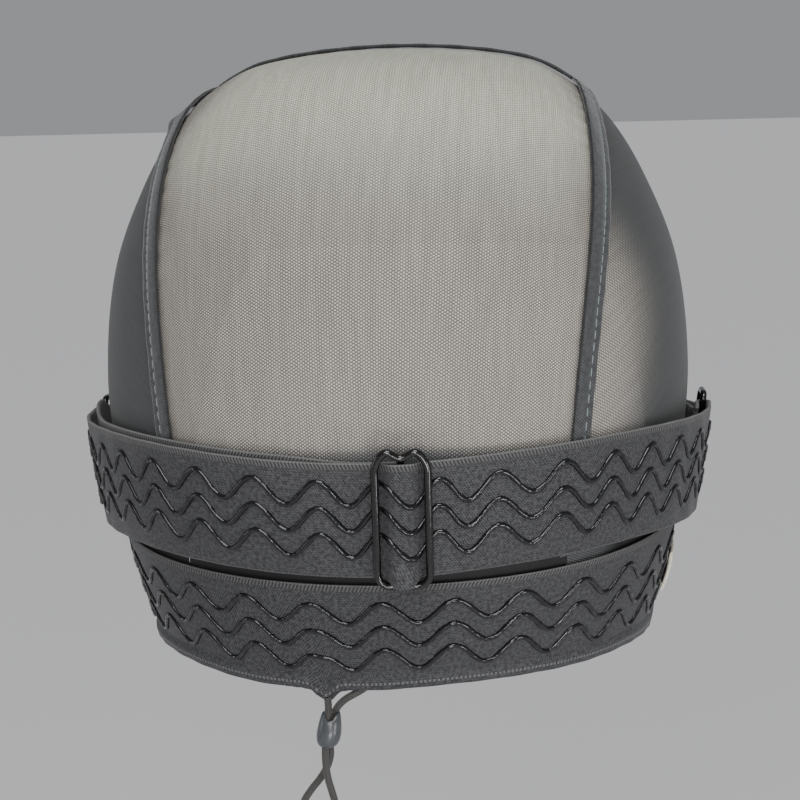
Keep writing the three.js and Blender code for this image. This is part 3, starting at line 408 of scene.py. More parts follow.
def smooth_step(low, high, value):
    t = np.clip((np.asarray(value, float) - low) / (high - low), 0, 1)
    return t * t * (3 - 2 * t)


def form_share(z, column):
    """One column of the form table at a height, by cubic steps over the root of the depth."""
    values = FORM[:, column]
    low = np.maximum(np.arange(len(values)) - 1, 0)
    high = np.minimum(np.arange(len(values)) + 1, len(values) - 1)
    slopes = (values[high] - values[low]) / (FORM_ROOTS[high] - FORM_ROOTS[low])
    root = np.sqrt(np.maximum(CROWN_Z - np.asarray(z, float), 0) / CAP_DEPTH)
    k = np.clip(np.searchsorted(FORM_ROOTS[1:], root), 0, len(values) - 2)
    span = FORM_ROOTS[k + 1] - FORM_ROOTS[k]
    t = (root - FORM_ROOTS[k]) / span
    lower = (2 * t**3 - 3 * t**2 + 1) * values[k] + (t**3 - 2 * t**2 + t) * slopes[k] * span
    return lower + (3 * t**2 - 2 * t**3) * values[k + 1] + (t**3 - t**2) * slopes[k + 1] * span


def level_size(z, forward):
    reach = np.where(forward, form_share(z, 3) * FRONT_REACH, form_share(z, 2) * BACK_REACH)
    return form_share(z, 1) * CAP_WIDTH / 2, reach


def level_point(angle, z, out=0.0):
    """Point of the level section at a height, the angle counted in degrees from the back to +X."""
    angle, z, out = np.broadcast_arrays(np.radians(angle), np.asarray(z, float), np.asarray(out, float))
    s, c = np.sin(angle), np.cos(angle)
    half, reach = level_size(z, c < 0)
    scale = (abs(s) ** SECTION_POWER + abs(c) ** SECTION_POWER) ** (-1 / SECTION_POWER)
    nx = np.sign(s) * abs(s * scale) ** (SECTION_POWER - 1) / half
    ny = -np.sign(c) * abs(c * scale) ** (SECTION_POWER - 1) / reach
    size = np.hypot(nx, ny)
    return np.stack([s * scale * half + out * nx / size, -c * scale * reach + out * ny / size, z], -1)


def cast_out(start, direction):
    """Where lines from inside the form leave it."""
    start, direction = np.broadcast_arrays(np.asarray(start, float), np.asarray(direction, float))
    direction = direction / np.linalg.norm(direction, axis=-1, keepdims=True)
    near, far = np.zeros(start.shape[:-1]), np.full(start.shape[:-1], 2 * FRONT_REACH)
    for _ in range(32):
        middle = (near + far) / 2
        p = start + direction * middle[..., None]
        half, reach = level_size(p[..., 2], p[..., 1] > 0)
        with np.errstate(all="ignore"):
            size = (abs(p[..., 0]) / half) ** SECTION_POWER + (abs(p[..., 1]) / reach) ** SECTION_POWER
        outside = (p[..., 2] >= CROWN_Z) | (size > 1)
        near, far = np.where(outside, near, middle), np.where(outside, middle, far)
    return start + direction * near[..., None]


def skin_normal(points):
    pivot = np.array([0, 0, PIVOT_Z])
    ray = points - pivot
    ray /= np.linalg.norm(ray, axis=-1, keepdims=True)
    side = np.where(abs(ray[..., :1]) < 0.7, np.array([1.0, 0, 0]), np.array([0, 1.0, 0]))
    u = np.cross(side, ray)
    u *= 0.02 / np.linalg.norm(u, axis=-1, keepdims=True)
    v = np.cross(ray, u)
    across = cast_out(pivot, ray + u) - cast_out(pivot, ray - u)
    along = cast_out(pivot, ray + v) - cast_out(pivot, ray - v)
    normal = np.cross(across, along)
    normal /= np.linalg.norm(normal, axis=-1, keepdims=True)
    return np.where((normal * ray).sum(-1, keepdims=True) < 0, -normal, normal)


def lifted(points, offset):
    return points + skin_normal(points) * np.asarray(offset)[..., None]


def over_head(x, angle):
    """Point on the skin in the upright plane at x, the angle counted from straight up to the back."""
    x, angle = np.broadcast_arrays(np.asarray(x, float), np.radians(angle))
    start = np.stack([x, np.zeros_like(x), np.full_like(x, PIVOT_Z)], -1)
    return cast_out(start, np.stack([np.zeros_like(x), -np.sin(angle), np.cos(angle)], -1))


def over_head_angle(x, z, forward):
    half, reach = level_size(z, forward)
    share = np.minimum(abs(np.asarray(x, float)) / half, 1) ** SECTION_POWER
    angle = np.degrees(np.arctan2(reach * (1 - share) ** (1 / SECTION_POWER), z - PIVOT_Z))
    return -angle if forward else angle


def seam_x(angle):
    """Half the distance between the long seams, which come closer at the crown and bow out behind."""
    angle = np.asarray(angle, float)
    bow = SEAM_BOW * np.exp(-((angle - SEAM_BOW_ANGLE) / SEAM_BOW_SPREAD) ** 2)
    return SEAM_SPACING * (1 - 0.06 * (abs(angle) / 55 - 1) ** 2) + bow


STRAP_TOP_Z = CROWN_Z - 0.0948
STRAP_WIDTH = 0.0278
NAPE_TOP_Z = STRAP_TOP_Z - STRAP_WIDTH - 0.0027
NAPE_RIM_Z = NAPE_TOP_Z - 0.003
HAIRLINE_Z = CROWN_Z - 0.058
EAR_TAB_Z = NAPE_RIM_Z + 0.0043
EAR_TAB_ANGLE = 112
NAPE_END_ANGLE = 97
CROWN_SEAM_ANGLE = -math.degrees(math.atan2(0.003, -PIVOT_Z))


def rim_angle(share, rim_z, forward):
    angle = over_head_angle(share * SEAM_SPACING, rim_z, forward)
    for _ in range(8):
        angle = over_head_angle(share * seam_x(angle), rim_z, forward)
    return angle


SEAM_BACK_ANGLE = float(rim_angle(1, NAPE_RIM_Z, False))
SEAM_FRONT_ANGLE = float(rim_angle(1, HAIRLINE_Z, True))


def seam_edge(side, t):
    angle = SEAM_BACK_ANGLE + (SEAM_FRONT_ANGLE - SEAM_BACK_ANGLE) * np.asarray(t, float)
    return over_head(side * seam_x(angle), angle)


def angle_of(point):
    half, reach = level_size(point[2], point[1] > 0)
    return math.degrees(math.atan2(abs(point[0]) / half, -point[1] / reach))


def front_rim(side, t):
    """Free rim: under the ear tab, then up past the temple to the hairline."""
    painted_corner_shade = seam_edge(side, 1.0)
    t = np.asarray(t, float)
    k = np.clip(t / EAR_SHARE, 0, 1)
    under = level_point(
        side * (EAR_BACK_ANGLE + (EAR_TAB_ANGLE - EAR_BACK_ANGLE) * k),
        NAPE_RIM_Z + (EAR_TAB_Z - NAPE_RIM_Z) * smooth_step(0, 1, k),
    )
    k = np.clip((t - EAR_SHARE) / (1 - EAR_SHARE), 0, 1)
    rise = k - 0.05 * np.sin(2 * math.pi * k)
    angle = EAR_TAB_ANGLE + (angle_of(painted_corner_shade) - EAR_TAB_ANGLE) * k
    up = level_point(side * angle, EAR_TAB_Z + (painted_corner_shade[2] - EAR_TAB_Z) * rise)
    return np.where((t <= EAR_SHARE)[..., None], under, up)


def sheet_faces(columns, rows):
    return [
        (i * (rows + 1) + j, (i + 1) * (rows + 1) + j, (i + 1) * (rows + 1) + j + 1, i * (rows + 1) + j + 1)
        for i in range(columns) for j in range(rows)
    ]


def pucker(distance, along, seed):
    """Small gathers beside a seam that die out away from it."""
    long, short = (along * 2 * math.pi / pitch for pitch in PUCKER_PITCHES)
    ripple = np.sin(long + seed + 1.3 * np.sin(along * 71 + seed))
    ripple = ripple + 0.6 * np.sin(short + 2.1 * seed + np.sin(along * 113))
    return PUCKER_HEIGHT * ripple * np.exp(-distance / PUCKER_REACH)


def grid_lengths(points, axis):
    steps = np.linalg.norm(np.diff(points, axis=axis), axis=-1)
    pad = np.zeros_like(np.take(steps, [0], axis))
    return np.cumsum(np.concatenate([pad, steps], axis), axis)


mesh_cloth = Finish("mesh_cloth", Roughness=0.72, Sheen_Weight=0.06, Sheen_Roughness=0.35)
across, down, painted_shading = mesh_cloth.threads()
wander = mesh_cloth.noise(mesh_cloth.place(across, down), 170, 2.0)
across_bent = mesh_cloth.maths("MULTIPLY_ADD", wander, 0.00055, across)
down_bent = mesh_cloth.maths("MULTIPLY_ADD", wander, -0.0004, down)
holes = mesh_cloth.maths(
    "MULTIPLY", mesh_cloth.wave(across_bent, HOLE_WIDTH), mesh_cloth.wave(down_bent, HOLE_HEIGHT))
wales = mesh_cloth.wave(across_bent, HOLE_WIDTH / 2)
holes = mesh_cloth.spread(mesh_cloth.maths("MULTIPLY_ADD", wales, 0.28, holes), -0.35, 1.15)
slub = mesh_cloth.noise(mesh_cloth.place(mesh_cloth.maths("MULTIPLY", across, 9.0), down), 62, 3.0)
slub = mesh_cloth.spread(slub, 0.25, 0.75, 0.90, 1.08)
speck = mesh_cloth.noise(mesh_cloth.place(across, down, 0.01), 2400, 1.0)
speck = mesh_cloth.spread(speck, 0.3, 0.7, 0.85, 1.15)
shade = mesh_cloth.maths("MULTIPLY", slub, speck)
cloud = mesh_cloth.noise(mesh_cloth.place(across, down), 26, 2.0)
# The third value of the threads paints light and shade into the tone: -0.3 painted full light, 0 sheer,
# 1 painted shade, 1.6 painted black shadow.
yarn = mesh_cloth.blend(cloud, (0.090, 0.080, 0.070), (0.130, 0.116, 0.102))
gap = mesh_cloth.blend(cloud, (0.50, 0.465, 0.41), (0.62, 0.585, 0.525))
tone = mesh_cloth.blend(holes, yarn, gap)
# Painted light: the paler tone of mesh under full light from above.
lit_from_above = mesh_cloth.blend(holes, (0.27, 0.27, 0.215), (0.90, 0.91, 0.79))
tone = mesh_cloth.blend(mesh_cloth.spread(painted_shading, 0.0, -0.3), tone, lit_from_above)
# Painted shade: the darker tone of shaded mesh, then black for the painted shadow behind the strap.
painted_shade_tone = mesh_cloth.blend(holes, (0.030, 0.032, 0.033), (0.066, 0.070, 0.071))
tone = mesh_cloth.blend(mesh_cloth.spread(painted_shading, 0.0, 1.0), tone, painted_shade_tone)
tone = mesh_cloth.blend(mesh_cloth.spread(painted_shading, 1.05, 1.6), tone, (0.004, 0.004, 0.004))
shades = mesh_cloth.place(shade, shade, shade)
tone = mesh_cloth.add("VectorMath", {0: tone, 1: shades}, operation="MULTIPLY").outputs[0]
mesh_cloth.set(mesh_cloth.skin, "Base Color", tone)
sheer = mesh_cloth.maths(
    "MULTIPLY", mesh_cloth.spread(holes, 0.0, 1.0, 0.0, 0.22), mesh_cloth.spread(painted_shading, 0.6, 1.4, 1.0, 0.0))
mesh_cloth.set(mesh_cloth.skin, "Alpha", mesh_cloth.maths("SUBTRACT", 1.0, sheer))
mesh_cloth.relief(holes, -0.00008, 0.5)


def centre_panel(columns, rows, rim_z, forward):
    """Points and threads of a panel between the long seams, from the crown seam to its rim."""
    across = np.linspace(-1, 1, columns + 1)[:, None]
    turn = rim_angle(across, rim_z, forward) - CROWN_SEAM_ANGLE
    angle = CROWN_SEAM_ANGLE + turn * np.linspace(0, 1, rows + 1)[None, :]
    edge = seam_x(angle)
    points = over_head(across * edge, angle)
    downward = grid_lengths(points[columns // 2][None], 1)[0]
    sideways = grid_lengths(points[:, rows // 2], 0)
    sideways = sideways - sideways[columns // 2]
    along = downward[None, :] + 0 * across
    gap = (1 - abs(across)) * edge
    swell = pucker(gap, along, 0.7 if forward else 2.2) + pucker(gap, along + 0.0031, 4.1) * np.sign(across)
    above_strap = points[..., 2] - STRAP_TOP_Z
    # Painted shadow of the strap on the mesh: black behind it, dark just above it, and darker above the
    # slide.
    slide_shadow_reach = np.exp(-((points[..., 0] - 0.009) / 0.012) ** 2)
    painted_strap_shadow = 1.8 * (1 - smooth_step(-0.006, -0.002, above_strap))
    painted_strap_shadow = painted_strap_shadow + 0.75 * (1 - smooth_step(-0.001, 0.0045, above_strap))
    painted_strap_shadow = painted_strap_shadow + 0.40 * slide_shadow_reach * (1 - smooth_step(0, 0.013, above_strap))
    if forward:
        painted_shading = 0.35 + 0 * along
    else:
        # Painted light over the upper back, with a darker tone right at the crown seam, and painted shade
        # in the upper corners. The mesh is also darker towards the seams.
        top_tone_and_painted_light = 0.20 * (1 - smooth_step(-3, 20, angle)) - 0.30 * (1 - smooth_step(35, 92, angle))
        painted_corner_shade = 0.48 * smooth_step(0.55, 1.0, -across) * (1 - smooth_step(12, 58, angle))
        painted_corner_shade = painted_corner_shade + 0.16 * smooth_step(0.72, 1.0, across) * (1 - smooth_step(12, 50, angle))
        painted_shading = top_tone_and_painted_light + painted_corner_shade + 0.10 * smooth_step(0.80, 1.0, abs(across)) + painted_strap_shadow
    threads = np.stack(np.broadcast_arrays(sideways[:, None], along, painted_shading), -1)
    return lifted(points, swell - MESH_INSET), threads


def side_panel(side, columns, rows):
    """Points and threads of a side panel, filled in between its seam, rims and ear."""
    u = np.linspace(0, 1, columns + 1)[:, None, None]
    v = np.linspace(0, 1, rows + 1)[None, :, None]
    seam = seam_edge(side, u[:, 0, 0])[:, None]
    ear = front_rim(side, u[:, 0, 0] * TEMPLE_SHARE)[:, None]
    back_angle = angle_of(seam_edge(side, 0.0))
    back = level_point(side * (back_angle + (EAR_BACK_ANGLE - back_angle) * v[0, :, 0]), NAPE_RIM_Z)[None]
    front = front_rim(side, 1 + (TEMPLE_SHARE - 1) * v[0, :, 0])[None]
    flat = (seam[:1] * (1 - u) + seam[-1:] * u) * (1 - v) + (ear[:1] * (1 - u) + ear[-1:] * u) * v
    patch = seam * (1 - v) + ear * v + back * (1 - u) + front * u - flat
    pivot = np.array([0, 0, PIVOT_Z])
    points = cast_out(pivot, patch - pivot)
    along = grid_lengths(points, 0)
    downward = grid_lengths(points, 1)
    swell = pucker(downward, along, 5.3)
    # Painted shade: the side panels are painted darker than the same mesh over the middle, for the shade
    # and the edge-on look of the mesh at the sides.
    painted_shading = SIDE_PAINTED_SHADE + 0 * along
    if side > 0:
        # A patch low on the right panel, by its seam, is left without the painted shade.
        sheer = (1 - smooth_step(0.06, 0.34, v[..., 0])) * (1 - smooth_step(0.20, 0.36, u[..., 0]))
        painted_shading = painted_shading - 0.92 * sheer
    # Painted shadow: the mesh is painted black behind the strap.
    painted_shading = painted_shading + 0.9 * (1 - smooth_step(STRAP_TOP_Z - 0.006, STRAP_TOP_Z - 0.002, points[..., 2]))
    across_wales = along * math.cos(WALE_LEAN) - downward * math.sin(WALE_LEAN)
    down_wales = along * math.sin(WALE_LEAN) + downward * math.cos(WALE_LEAN)
    threads = np.stack(np.broadcast_arrays(across_wales, down_wales, painted_shading), -1)
    return lifted(points, swell - MESH_INSET), threads


PANELS = [
    # the solid that the panel replaces, and its points and threads
    ("centre_back_panel", centre_panel(104, 150, NAPE_RIM_Z, False)),
    ("centre_front_panel", centre_panel(104, 90, HAIRLINE_Z, True)),
    ("left_side_panel", side_panel(-1, 150, 90)),
    ("right_side_panel", side_panel(1, 150, 90)),
]
for name, (points, threads) in PANELS:
    columns, rows = points.shape[0] - 1, points.shape[1] - 1
    panel = shape_piece(
        name.replace("panel", "mesh"), points, sheet_faces(columns, rows), threads,
        mesh_cloth, "mesh_cloth", name,
    )
    width = float(grid_lengths(points, 0)[-1].max())
    length = float(grid_lengths(points, 1)[:, -1].max())


# Seam tapes
# Flat woven tapes sewn over the two long seams and the crown seam with two rows of stitches. On the
# long seams the row next to the middle is in black thread, and the outer row in a lighter grey. Both rows
# on the crown seam are black.
TAPE_WIDTH = 0.0044
TAPE_THICKNESS = 0.0009
TAPE_LIFT = 0.0003
STITCH_PITCH = 0.0024
STITCH_LENGTH = 0.0021
STITCH_RADIUS = 0.00019
STITCH_ROWS = (-0.43, 0.20)
TAPE_DARK = (0.016, 0.017, 0.018)
TAPE_LIGHT = (0.056, 0.059, 0.062)
FLARE_PLACE, FLARE_REACH, FLARE_LIFT = 0.112, 0.006, 0.0012


def slab_faces(columns, rows):
    """Faces of a band with an inner and an outer face; its points come in pairs."""
    def at(i, j, face):
        return 2 * (i * (rows + 1) + j) + face
    faces = []
    for i in range(columns):
        for j in range(rows):
            faces.append((at(i, j, 0), at(i, j + 1, 0), at(i + 1, j + 1, 0), at(i + 1, j, 0)))
            faces.append((at(i, j, 1), at(i + 1, j, 1), at(i + 1, j + 1, 1), at(i, j + 1, 1)))
        faces.append((at(i, 0, 0), at(i + 1, 0, 0), at(i + 1, 0, 1), at(i, 0, 1)))
        faces.append((at(i, rows, 0), at(i, rows, 1), at(i + 1, rows, 1), at(i + 1, rows, 0)))
    for j in range(rows):
        faces.append((at(0, j, 0), at(0, j, 1), at(0, j + 1, 1), at(0, j + 1, 0)))
        faces.append((at(columns, j, 0), at(columns, j + 1, 0), at(columns, j + 1, 1), at(columns, j, 1)))
    return faces


def band(name, inner, outer, threads, finish, slot, node=None):
    """A band of cloth from the grids of its two faces, with rounded edges."""
    columns, rows = inner.shape[0] - 1, inner.shape[1] - 1
    pairs = np.stack([inner, outer], 2)
    pair_threads = np.stack([threads, threads], 2)
    shape_piece(name, pairs, slab_faces(columns, rows), pair_threads, finish, slot, node)


def edge_rows(count, width, rounding):
    """Shares across a band, closer together at its edges, with how full its edge is at each."""
    inner = np.linspace(rounding / width, 1 - rounding / width, count)
    close = rounding / width * np.array([0, 0.12, 0.4])
    shares = np.concatenate([close, inner, 1 - close[::-1]])
    distance = np.minimum(shares, 1 - shares) * width
    full = np.sqrt(np.clip(1 - (1 - np.clip(distance / rounding, 0, 1)) ** 2, 0, 1))
    return shares, np.maximum(full, 0.08)


def stitches(name, centres, tangents, ups, finish):
    """A row of short threads that lie on the cloth, each a slim bead."""
    profile = [(-0.5, 0.25), (-0.42, 0.75), (-0.2, 1.0), (0.2, 1.0), (0.42, 0.75), (0.5, 0.25)]
    sides = 6
    points, faces = [], []
    for centre, tangent, up in zip(centres, tangents, ups):
        start = len(points)
        tangent = tangent / np.linalg.norm(tangent)
        side = np.cross(up, tangent)
        side /= np.linalg.norm(side)
        up = np.cross(tangent, side)
        for place, girth in profile:
            for k in range(sides):
                turn = 2 * math.pi * (k + 0.5) / sides
                rim = girth * STITCH_RADIUS * (math.cos(turn) * side + math.sin(turn) * up)
                points.append(centre + tangent * place * STITCH_LENGTH + rim)
        for i in range(len(profile) - 1):
            for k in range(sides):
                m = (k + 1) % sides
                corners = (i, k), (i, m), (i + 1, m), (i + 1, k)
                faces.append(tuple(start + r * sides + s for r, s in corners))
        faces.append(tuple(start + k for k in range(sides))[::-1])
        faces.append(tuple(start + (len(profile) - 1) * sides + k for k in range(sides)))
    shape_piece(name, points, faces, points, finish, "seam_tape")


tape_cloth = Finish("tape_cloth", Roughness=0.8, Sheen_Weight=0.3, Sheen_Roughness=0.4)
along, across, _ = tape_cloth.threads()
twill = tape_cloth.wave(tape_cloth.maths("ADD", along, across), 0.00055)
cross_rib = tape_cloth.wave(tape_cloth.maths("SUBTRACT", along, across), 0.0009)
twill = tape_cloth.maths("MULTIPLY_ADD", cross_rib, 0.35, twill)
grain = tape_cloth.noise(tape_cloth.place(along, across), 900, 3.0)
lit = tape_cloth.maths("MULTIPLY_ADD", twill, 0.22, grain)
tape_tone = tape_cloth.blend(tape_cloth.spread(lit, 0.15, 0.95), TAPE_DARK, TAPE_LIGHT)
# Painted shadow: a black line along the tape's inner edge, where the seam fold shades it.
fold_shadow = tape_cloth.spread(across, -0.0019, -0.00165, 0.85, 0.0)
tape_tone = tape_cloth.blend(fold_shadow, tape_tone, (0.004, 0.004, 0.004))
tape_cloth.set(tape_cloth.skin, "Base Color", tape_tone)
tape_cloth.relief(lit, 0.00012, 0.7)

thread_dark = Finish("thread_dark", Base_Color=(0.008, 0.008, 0.009), Roughness=0.5)
thread_light = Finish("thread_light", Base_Color=(0.15, 0.18, 0.19), Roughness=0.5)
for thread in (thread_dark, thread_light):
    twist = thread.noise(thread.add("TexCoord").outputs["Object"], 2600, 2.0)
    thread.relief(twist, 0.00008)


def sewn_tape(name, node, across_line, length, row_finishes, flare=0.0):
    """A tape along a line on the skin, pressed in along its rows of stitches.

    across_line gives the skin's point at a share of the tape's length and an offset across it, and
    flare is how far the outer edge stands off at FLARE_PLACE.
    """
    count = int(length / 0.0008)
    t = np.linspace(0, 1, count + 1)
    shares, full = edge_rows(13, TAPE_WIDTH, 0.0004)
    sides = (shares - 0.5) * TAPE_WIDTH
    points = across_line(t[:, None], sides[None, :])
    run = t * length
    height = np.full((count + 1, len(shares)), TAPE_THICKNESS)
    for row in STITCH_ROWS:
        pinch = np.exp(-((shares - 0.5 - row) / 0.09) ** 2)
        beat = 0.75 + 0.25 * np.cos(2 * math.pi * run / STITCH_PITCH)
        height -= 0.42 * TAPE_THICKNESS * pinch[None, :] * beat[:, None]
    lift = TAPE_LIFT + 0.00012 * np.sin(run * 2 * math.pi / 0.009)[:, None] * (shares - 0.5)[None, :]
    lift = lift + flare * np.exp(-((run - FLARE_PLACE) / FLARE_REACH) ** 2)[:, None] * shares[None, :] ** 2
    middle = lift + height / 2
    inner = lifted(points, middle - height / 2 * full[None, :])
    outer = lifted(points, middle + height / 2 * full[None, :])
    threads = np.stack(np.broadcast_arrays(run[:, None], sides[None, :], 0 * points[..., 0]), -1)
    band(name, inner, outer, threads, tape_cloth, "seam_tape", node)
    stitch_count = int(length / STITCH_PITCH)
    s = (np.arange(stitch_count) + 0.5) / stitch_count
    s = s[across_line(s, np.zeros_like(s))[:, 2] > STRAP_TOP_Z - 0.01]
    for row, finish, word in zip(STITCH_ROWS, row_finishes, ("inner", "outer")):
        row_points = across_line(s, np.full_like(s, row * TAPE_WIDTH))
        ahead = across_line(s + 0.001, np.full_like(s, row * TAPE_WIDTH))
        ups = skin_normal(row_points)
        stand = flare * np.exp(-((s * length - FLARE_PLACE) / FLARE_REACH) ** 2) * (0.5 + row) ** 2
        centres = row_points + ups * (TAPE_LIFT + TAPE_THICKNESS * 0.70 + stand)[:, None]
        stitches(f"{name}_{word}_stitches", centres, ahead - row_points, ups, finish)


def long_tape(side):
    stop = float(rim_angle(1, NAPE_RIM_Z + 0.008, False))
    binding_turn = math.degrees((0.005 + 2 * 0.0003) / FRONT_REACH)
    front = SEAM_FRONT_ANGLE + 1.3 * binding_turn

    def across_line(t, offset):
        t, offset = np.broadcast_arrays(t, offset)
        angle = stop + (front - stop) * t
        return over_head(side * (seam_x(angle) + offset), angle)

    middle = across_line(np.linspace(0, 1, 400), np.zeros(400))
    length = float(run_lengths(middle)[-1])
    return across_line, length


for word, side in (("left", -1), ("right", 1)):
    line, length = long_tape(side)
    sewn_tape(
        f"{word}_long_tape", f"{word}_seam_tape", line, length, (thread_dark, thread_light),
        flare=FLARE_LIFT if side < 0 else 0.0,
    )


def crown_line(t, offset):
    t, offset = np.broadcast_arrays(t, offset)
    half_length = seam_x(CROWN_SEAM_ANGLE) - TAPE_WIDTH / 2 - 0.0003
    angle = CROWN_SEAM_ANGLE + np.degrees(offset / -PIVOT_Z)
    return over_head((2 * t - 1) * half_length, angle)


crown_length = float(run_lengths(crown_line(np.linspace(0, 1, 200), np.zeros(200)))[-1])
sewn_tape("crown_tape", "crown_seam_tape", crown_line, crown_length, (thread_dark, thread_dark))


# Front edge binding
# A narrow woven tape folded over the front rim, from one ear tab over the hairline to the other,
# and held by the same two rows of stitches. Only its outer layer is drawn, lying flat on the cap along the
# rim.
BINDING_WIDTH = 0.005
RIM_SIDE_SHARE = 0.36


def whole_rim(t):
    """Point of the front rim, from the left ear over the hairline to the right ear."""
    t = np.asarray(t, float)
    left = front_rim(-1, np.clip(t / RIM_SIDE_SHARE, 0, 1))
    right = front_rim(1, np.clip((1 - t) / RIM_SIDE_SHARE, 0, 1))
    x = (2 * t - 1) / (1 - 2 * RIM_SIDE_SHARE) * float(seam_x(SEAM_FRONT_ANGLE))
    x = np.clip(x, -0.0525, 0.0525)
    middle = over_head(x, over_head_angle(x, HAIRLINE_Z, True))
    at_left, at_right = t < RIM_SIDE_SHARE, t > 1 - RIM_SIDE_SHARE
    return np.where(at_left[..., None], left, np.where(at_right[..., None], right, middle))


def binding_line(t, offset):
    t, offset = np.broadcast_arrays(np.asarray(t, float), offset)
    t = 0.01 + 0.98 * t
    rim = whole_rim(t)
    tangent = whole_rim(t + 0.004) - whole_rim(t - 0.004)
    inward = np.cross(tangent, skin_normal(rim))
    inward /= np.linalg.norm(inward, axis=-1, keepdims=True)
    inward = np.where(inward[..., 2:] < 0, -inward, inward)
    pivot = np.array([0, 0, PIVOT_Z])
    share = (offset / TAPE_WIDTH + 0.5) * BINDING_WIDTH
    return cast_out(pivot, rim + inward * share[..., None] - pivot)


rim_length = float(run_lengths(binding_line(np.linspace(0, 1, 500), np.zeros(500)))[-1])
sewn_tape("front_binding", "front_edge_binding", binding_line, rim_length, (thread_dark, thread_dark))


# Nape band
# Wide knitted elastic that forms the rim at the nape. Its upper edge is a ribbed selvedge with a pale
# rim, and its lower edge is turned up into a hem, drawn into a funnel where the cord comes out.
NAPE_HEIGHT = 0.029
HEM_Z = NAPE_TOP_Z - NAPE_HEIGHT
HEM_HEIGHT = 0.004
ELASTIC_THICKNESS = 0.001
HEM_THICKNESS = 0.002
NAPE_LIFT = 0.0003
FUNNEL_PLACE = -0.0133
FUNNEL_DROP = 0.0036
FUNNEL_HALF_WIDTH = 0.004
NAPE_END_RISE = 0.005
HEM_RISE, HEM_END_RISE, HEM_END_TURN = 0.002, 0.013, 13
HEM_SAG_LEFT, HEM_LIFT_RIGHT = 0.0014, 0.0008
GATHER_HEIGHT, GATHER_PITCH = 0.00035, 0.0026
KNIT_DARK, KNIT_LIGHT = (0.007, 0.007, 0.008), (0.056, 0.056, 0.061)
RIB_DARK, RIB_LIGHT = (0.010, 0.010, 0.011), (0.078, 0.078, 0.078)
RIM_PALE = (0.12, 0.12, 0.117)
HEM_THREAD = (0.10, 0.10, 0.10)


def girth_table(z, out):
    """Lengths along a level section, counted from the centre of the back."""
    angles = np.linspace(0, 110, 241)
    lengths = run_lengths(level_point(angles, z, out))

    def angle_at(length):
        return np.sign(length) * np.interp(abs(np.asarray(length, float)), lengths, angles)

    def length_at(angle):
        return np.sign(angle) * np.interp(abs(np.asarray(angle, float)), angles, lengths)

    return angle_at, length_at


nape_angle_at, nape_length_at = girth_table(HEM_Z + NAPE_HEIGHT / 2, NAPE_LIFT)


def nape_top(angle):
    return NAPE_TOP_Z + NAPE_END_RISE * (abs(angle) / NAPE_END_ANGLE) ** 1.5


def nape_bottom(angle):
    turn = abs(angle)
    end_turn = np.clip((turn - NAPE_END_ANGLE) / HEM_END_TURN + 1, 0, 1)
    wander = HEM_RISE * (smooth_step(0, 35, turn) - smooth_step(55, 90, turn))
    lift = wander + HEM_END_RISE * (1 - np.sqrt(1 - end_turn**2))
    from_funnel = (nape_length_at(angle) - FUNNEL_PLACE) / FUNNEL_HALF_WIDTH
    sag = HEM_LIFT_RIGHT * np.exp(-((angle - 12) / 14) ** 2)
    sag = sag - HEM_SAG_LEFT * np.exp(-((angle + 28) / 14) ** 2)
    return HEM_Z + lift + sag - FUNNEL_DROP * np.exp(-2 * from_funnel**2)


def nape_point(angle, share, out):
    top = nape_top(angle)
    return level_point(angle, top + (nape_bottom(angle) - top) * share, NAPE_LIFT + out)


def knit_elastic(name, hem=None):
    """Dark knitted elastic with a ribbed upper edge, and a line of stitches halfway up its hem."""
    knit = Finish(name, Roughness=0.8, Sheen_Weight=0.08, Sheen_Roughness=0.4)
    along, top, bottom = knit.threads()
    place = knit.place(along, top)
    bend = knit.noise(place, 500, 2.0)
    slant = knit.maths("MULTIPLY_ADD", top, 0.75, knit.maths("MULTIPLY_ADD", bend, 0.0011, along))
    grains = knit.wave(slant, 0.00066)
    courses = knit.wave(knit.maths("MULTIPLY_ADD", bend, 0.0005, top), 0.0006)
    grains = knit.maths("MULTIPLY_ADD", courses, 0.5, grains)
    mottle = knit.noise(place, 1100, 4.0)
    body = knit.maths("MULTIPLY_ADD", grains, 0.13, mottle)
    ribs = knit.wave(knit.maths("MULTIPLY_ADD", top, 0.45, along), 0.00085)
    ribs = knit.maths("MULTIPLY_ADD", ribs, 0.5, 0.5)
    rib_share = knit.spread(top, 0.0012, 0.0019, 1.0, 0.0)
    rim = knit.spread(top, 0.00022, 0.00042, 1.0, 0.0)
    low_rim = knit.spread(bottom, 0.00015, 0.00035, 0.7, 0.0)
    tone = knit.blend(knit.spread(body, 0.22, 0.80), KNIT_DARK, KNIT_LIGHT)
    tone = knit.blend(rib_share, tone, knit.blend(ribs, RIB_DARK, RIB_LIGHT))
    beads = knit.maths("MULTIPLY_ADD", knit.wave(along, 0.0008), 0.3, 0.7)
    rim = knit.maths("MULTIPLY", knit.maths("MAXIMUM", rim, low_rim), beads)
    tone = knit.blend(rim, tone, RIM_PALE)
    if hem:
        away = knit.maths("ABSOLUTE", knit.maths("SUBTRACT", bottom, hem * 0.5))
        line = knit.spread(away, 0.0002, 0.00045, 1.0, 0.0)
        dash = knit.spread(knit.wave(along, 0.0011), -0.5, 0.5)
        tone = knit.blend(knit.maths("MULTIPLY", line, dash), tone, HEM_THREAD)
    knit.set(knit.skin, "Base Color", tone)
    height = knit.maths("MULTIPLY_ADD", knit.maths("MULTIPLY", rib_share, ribs), 0.6, body)
    knit.relief(height, 0.00018, 0.7)
    return knit


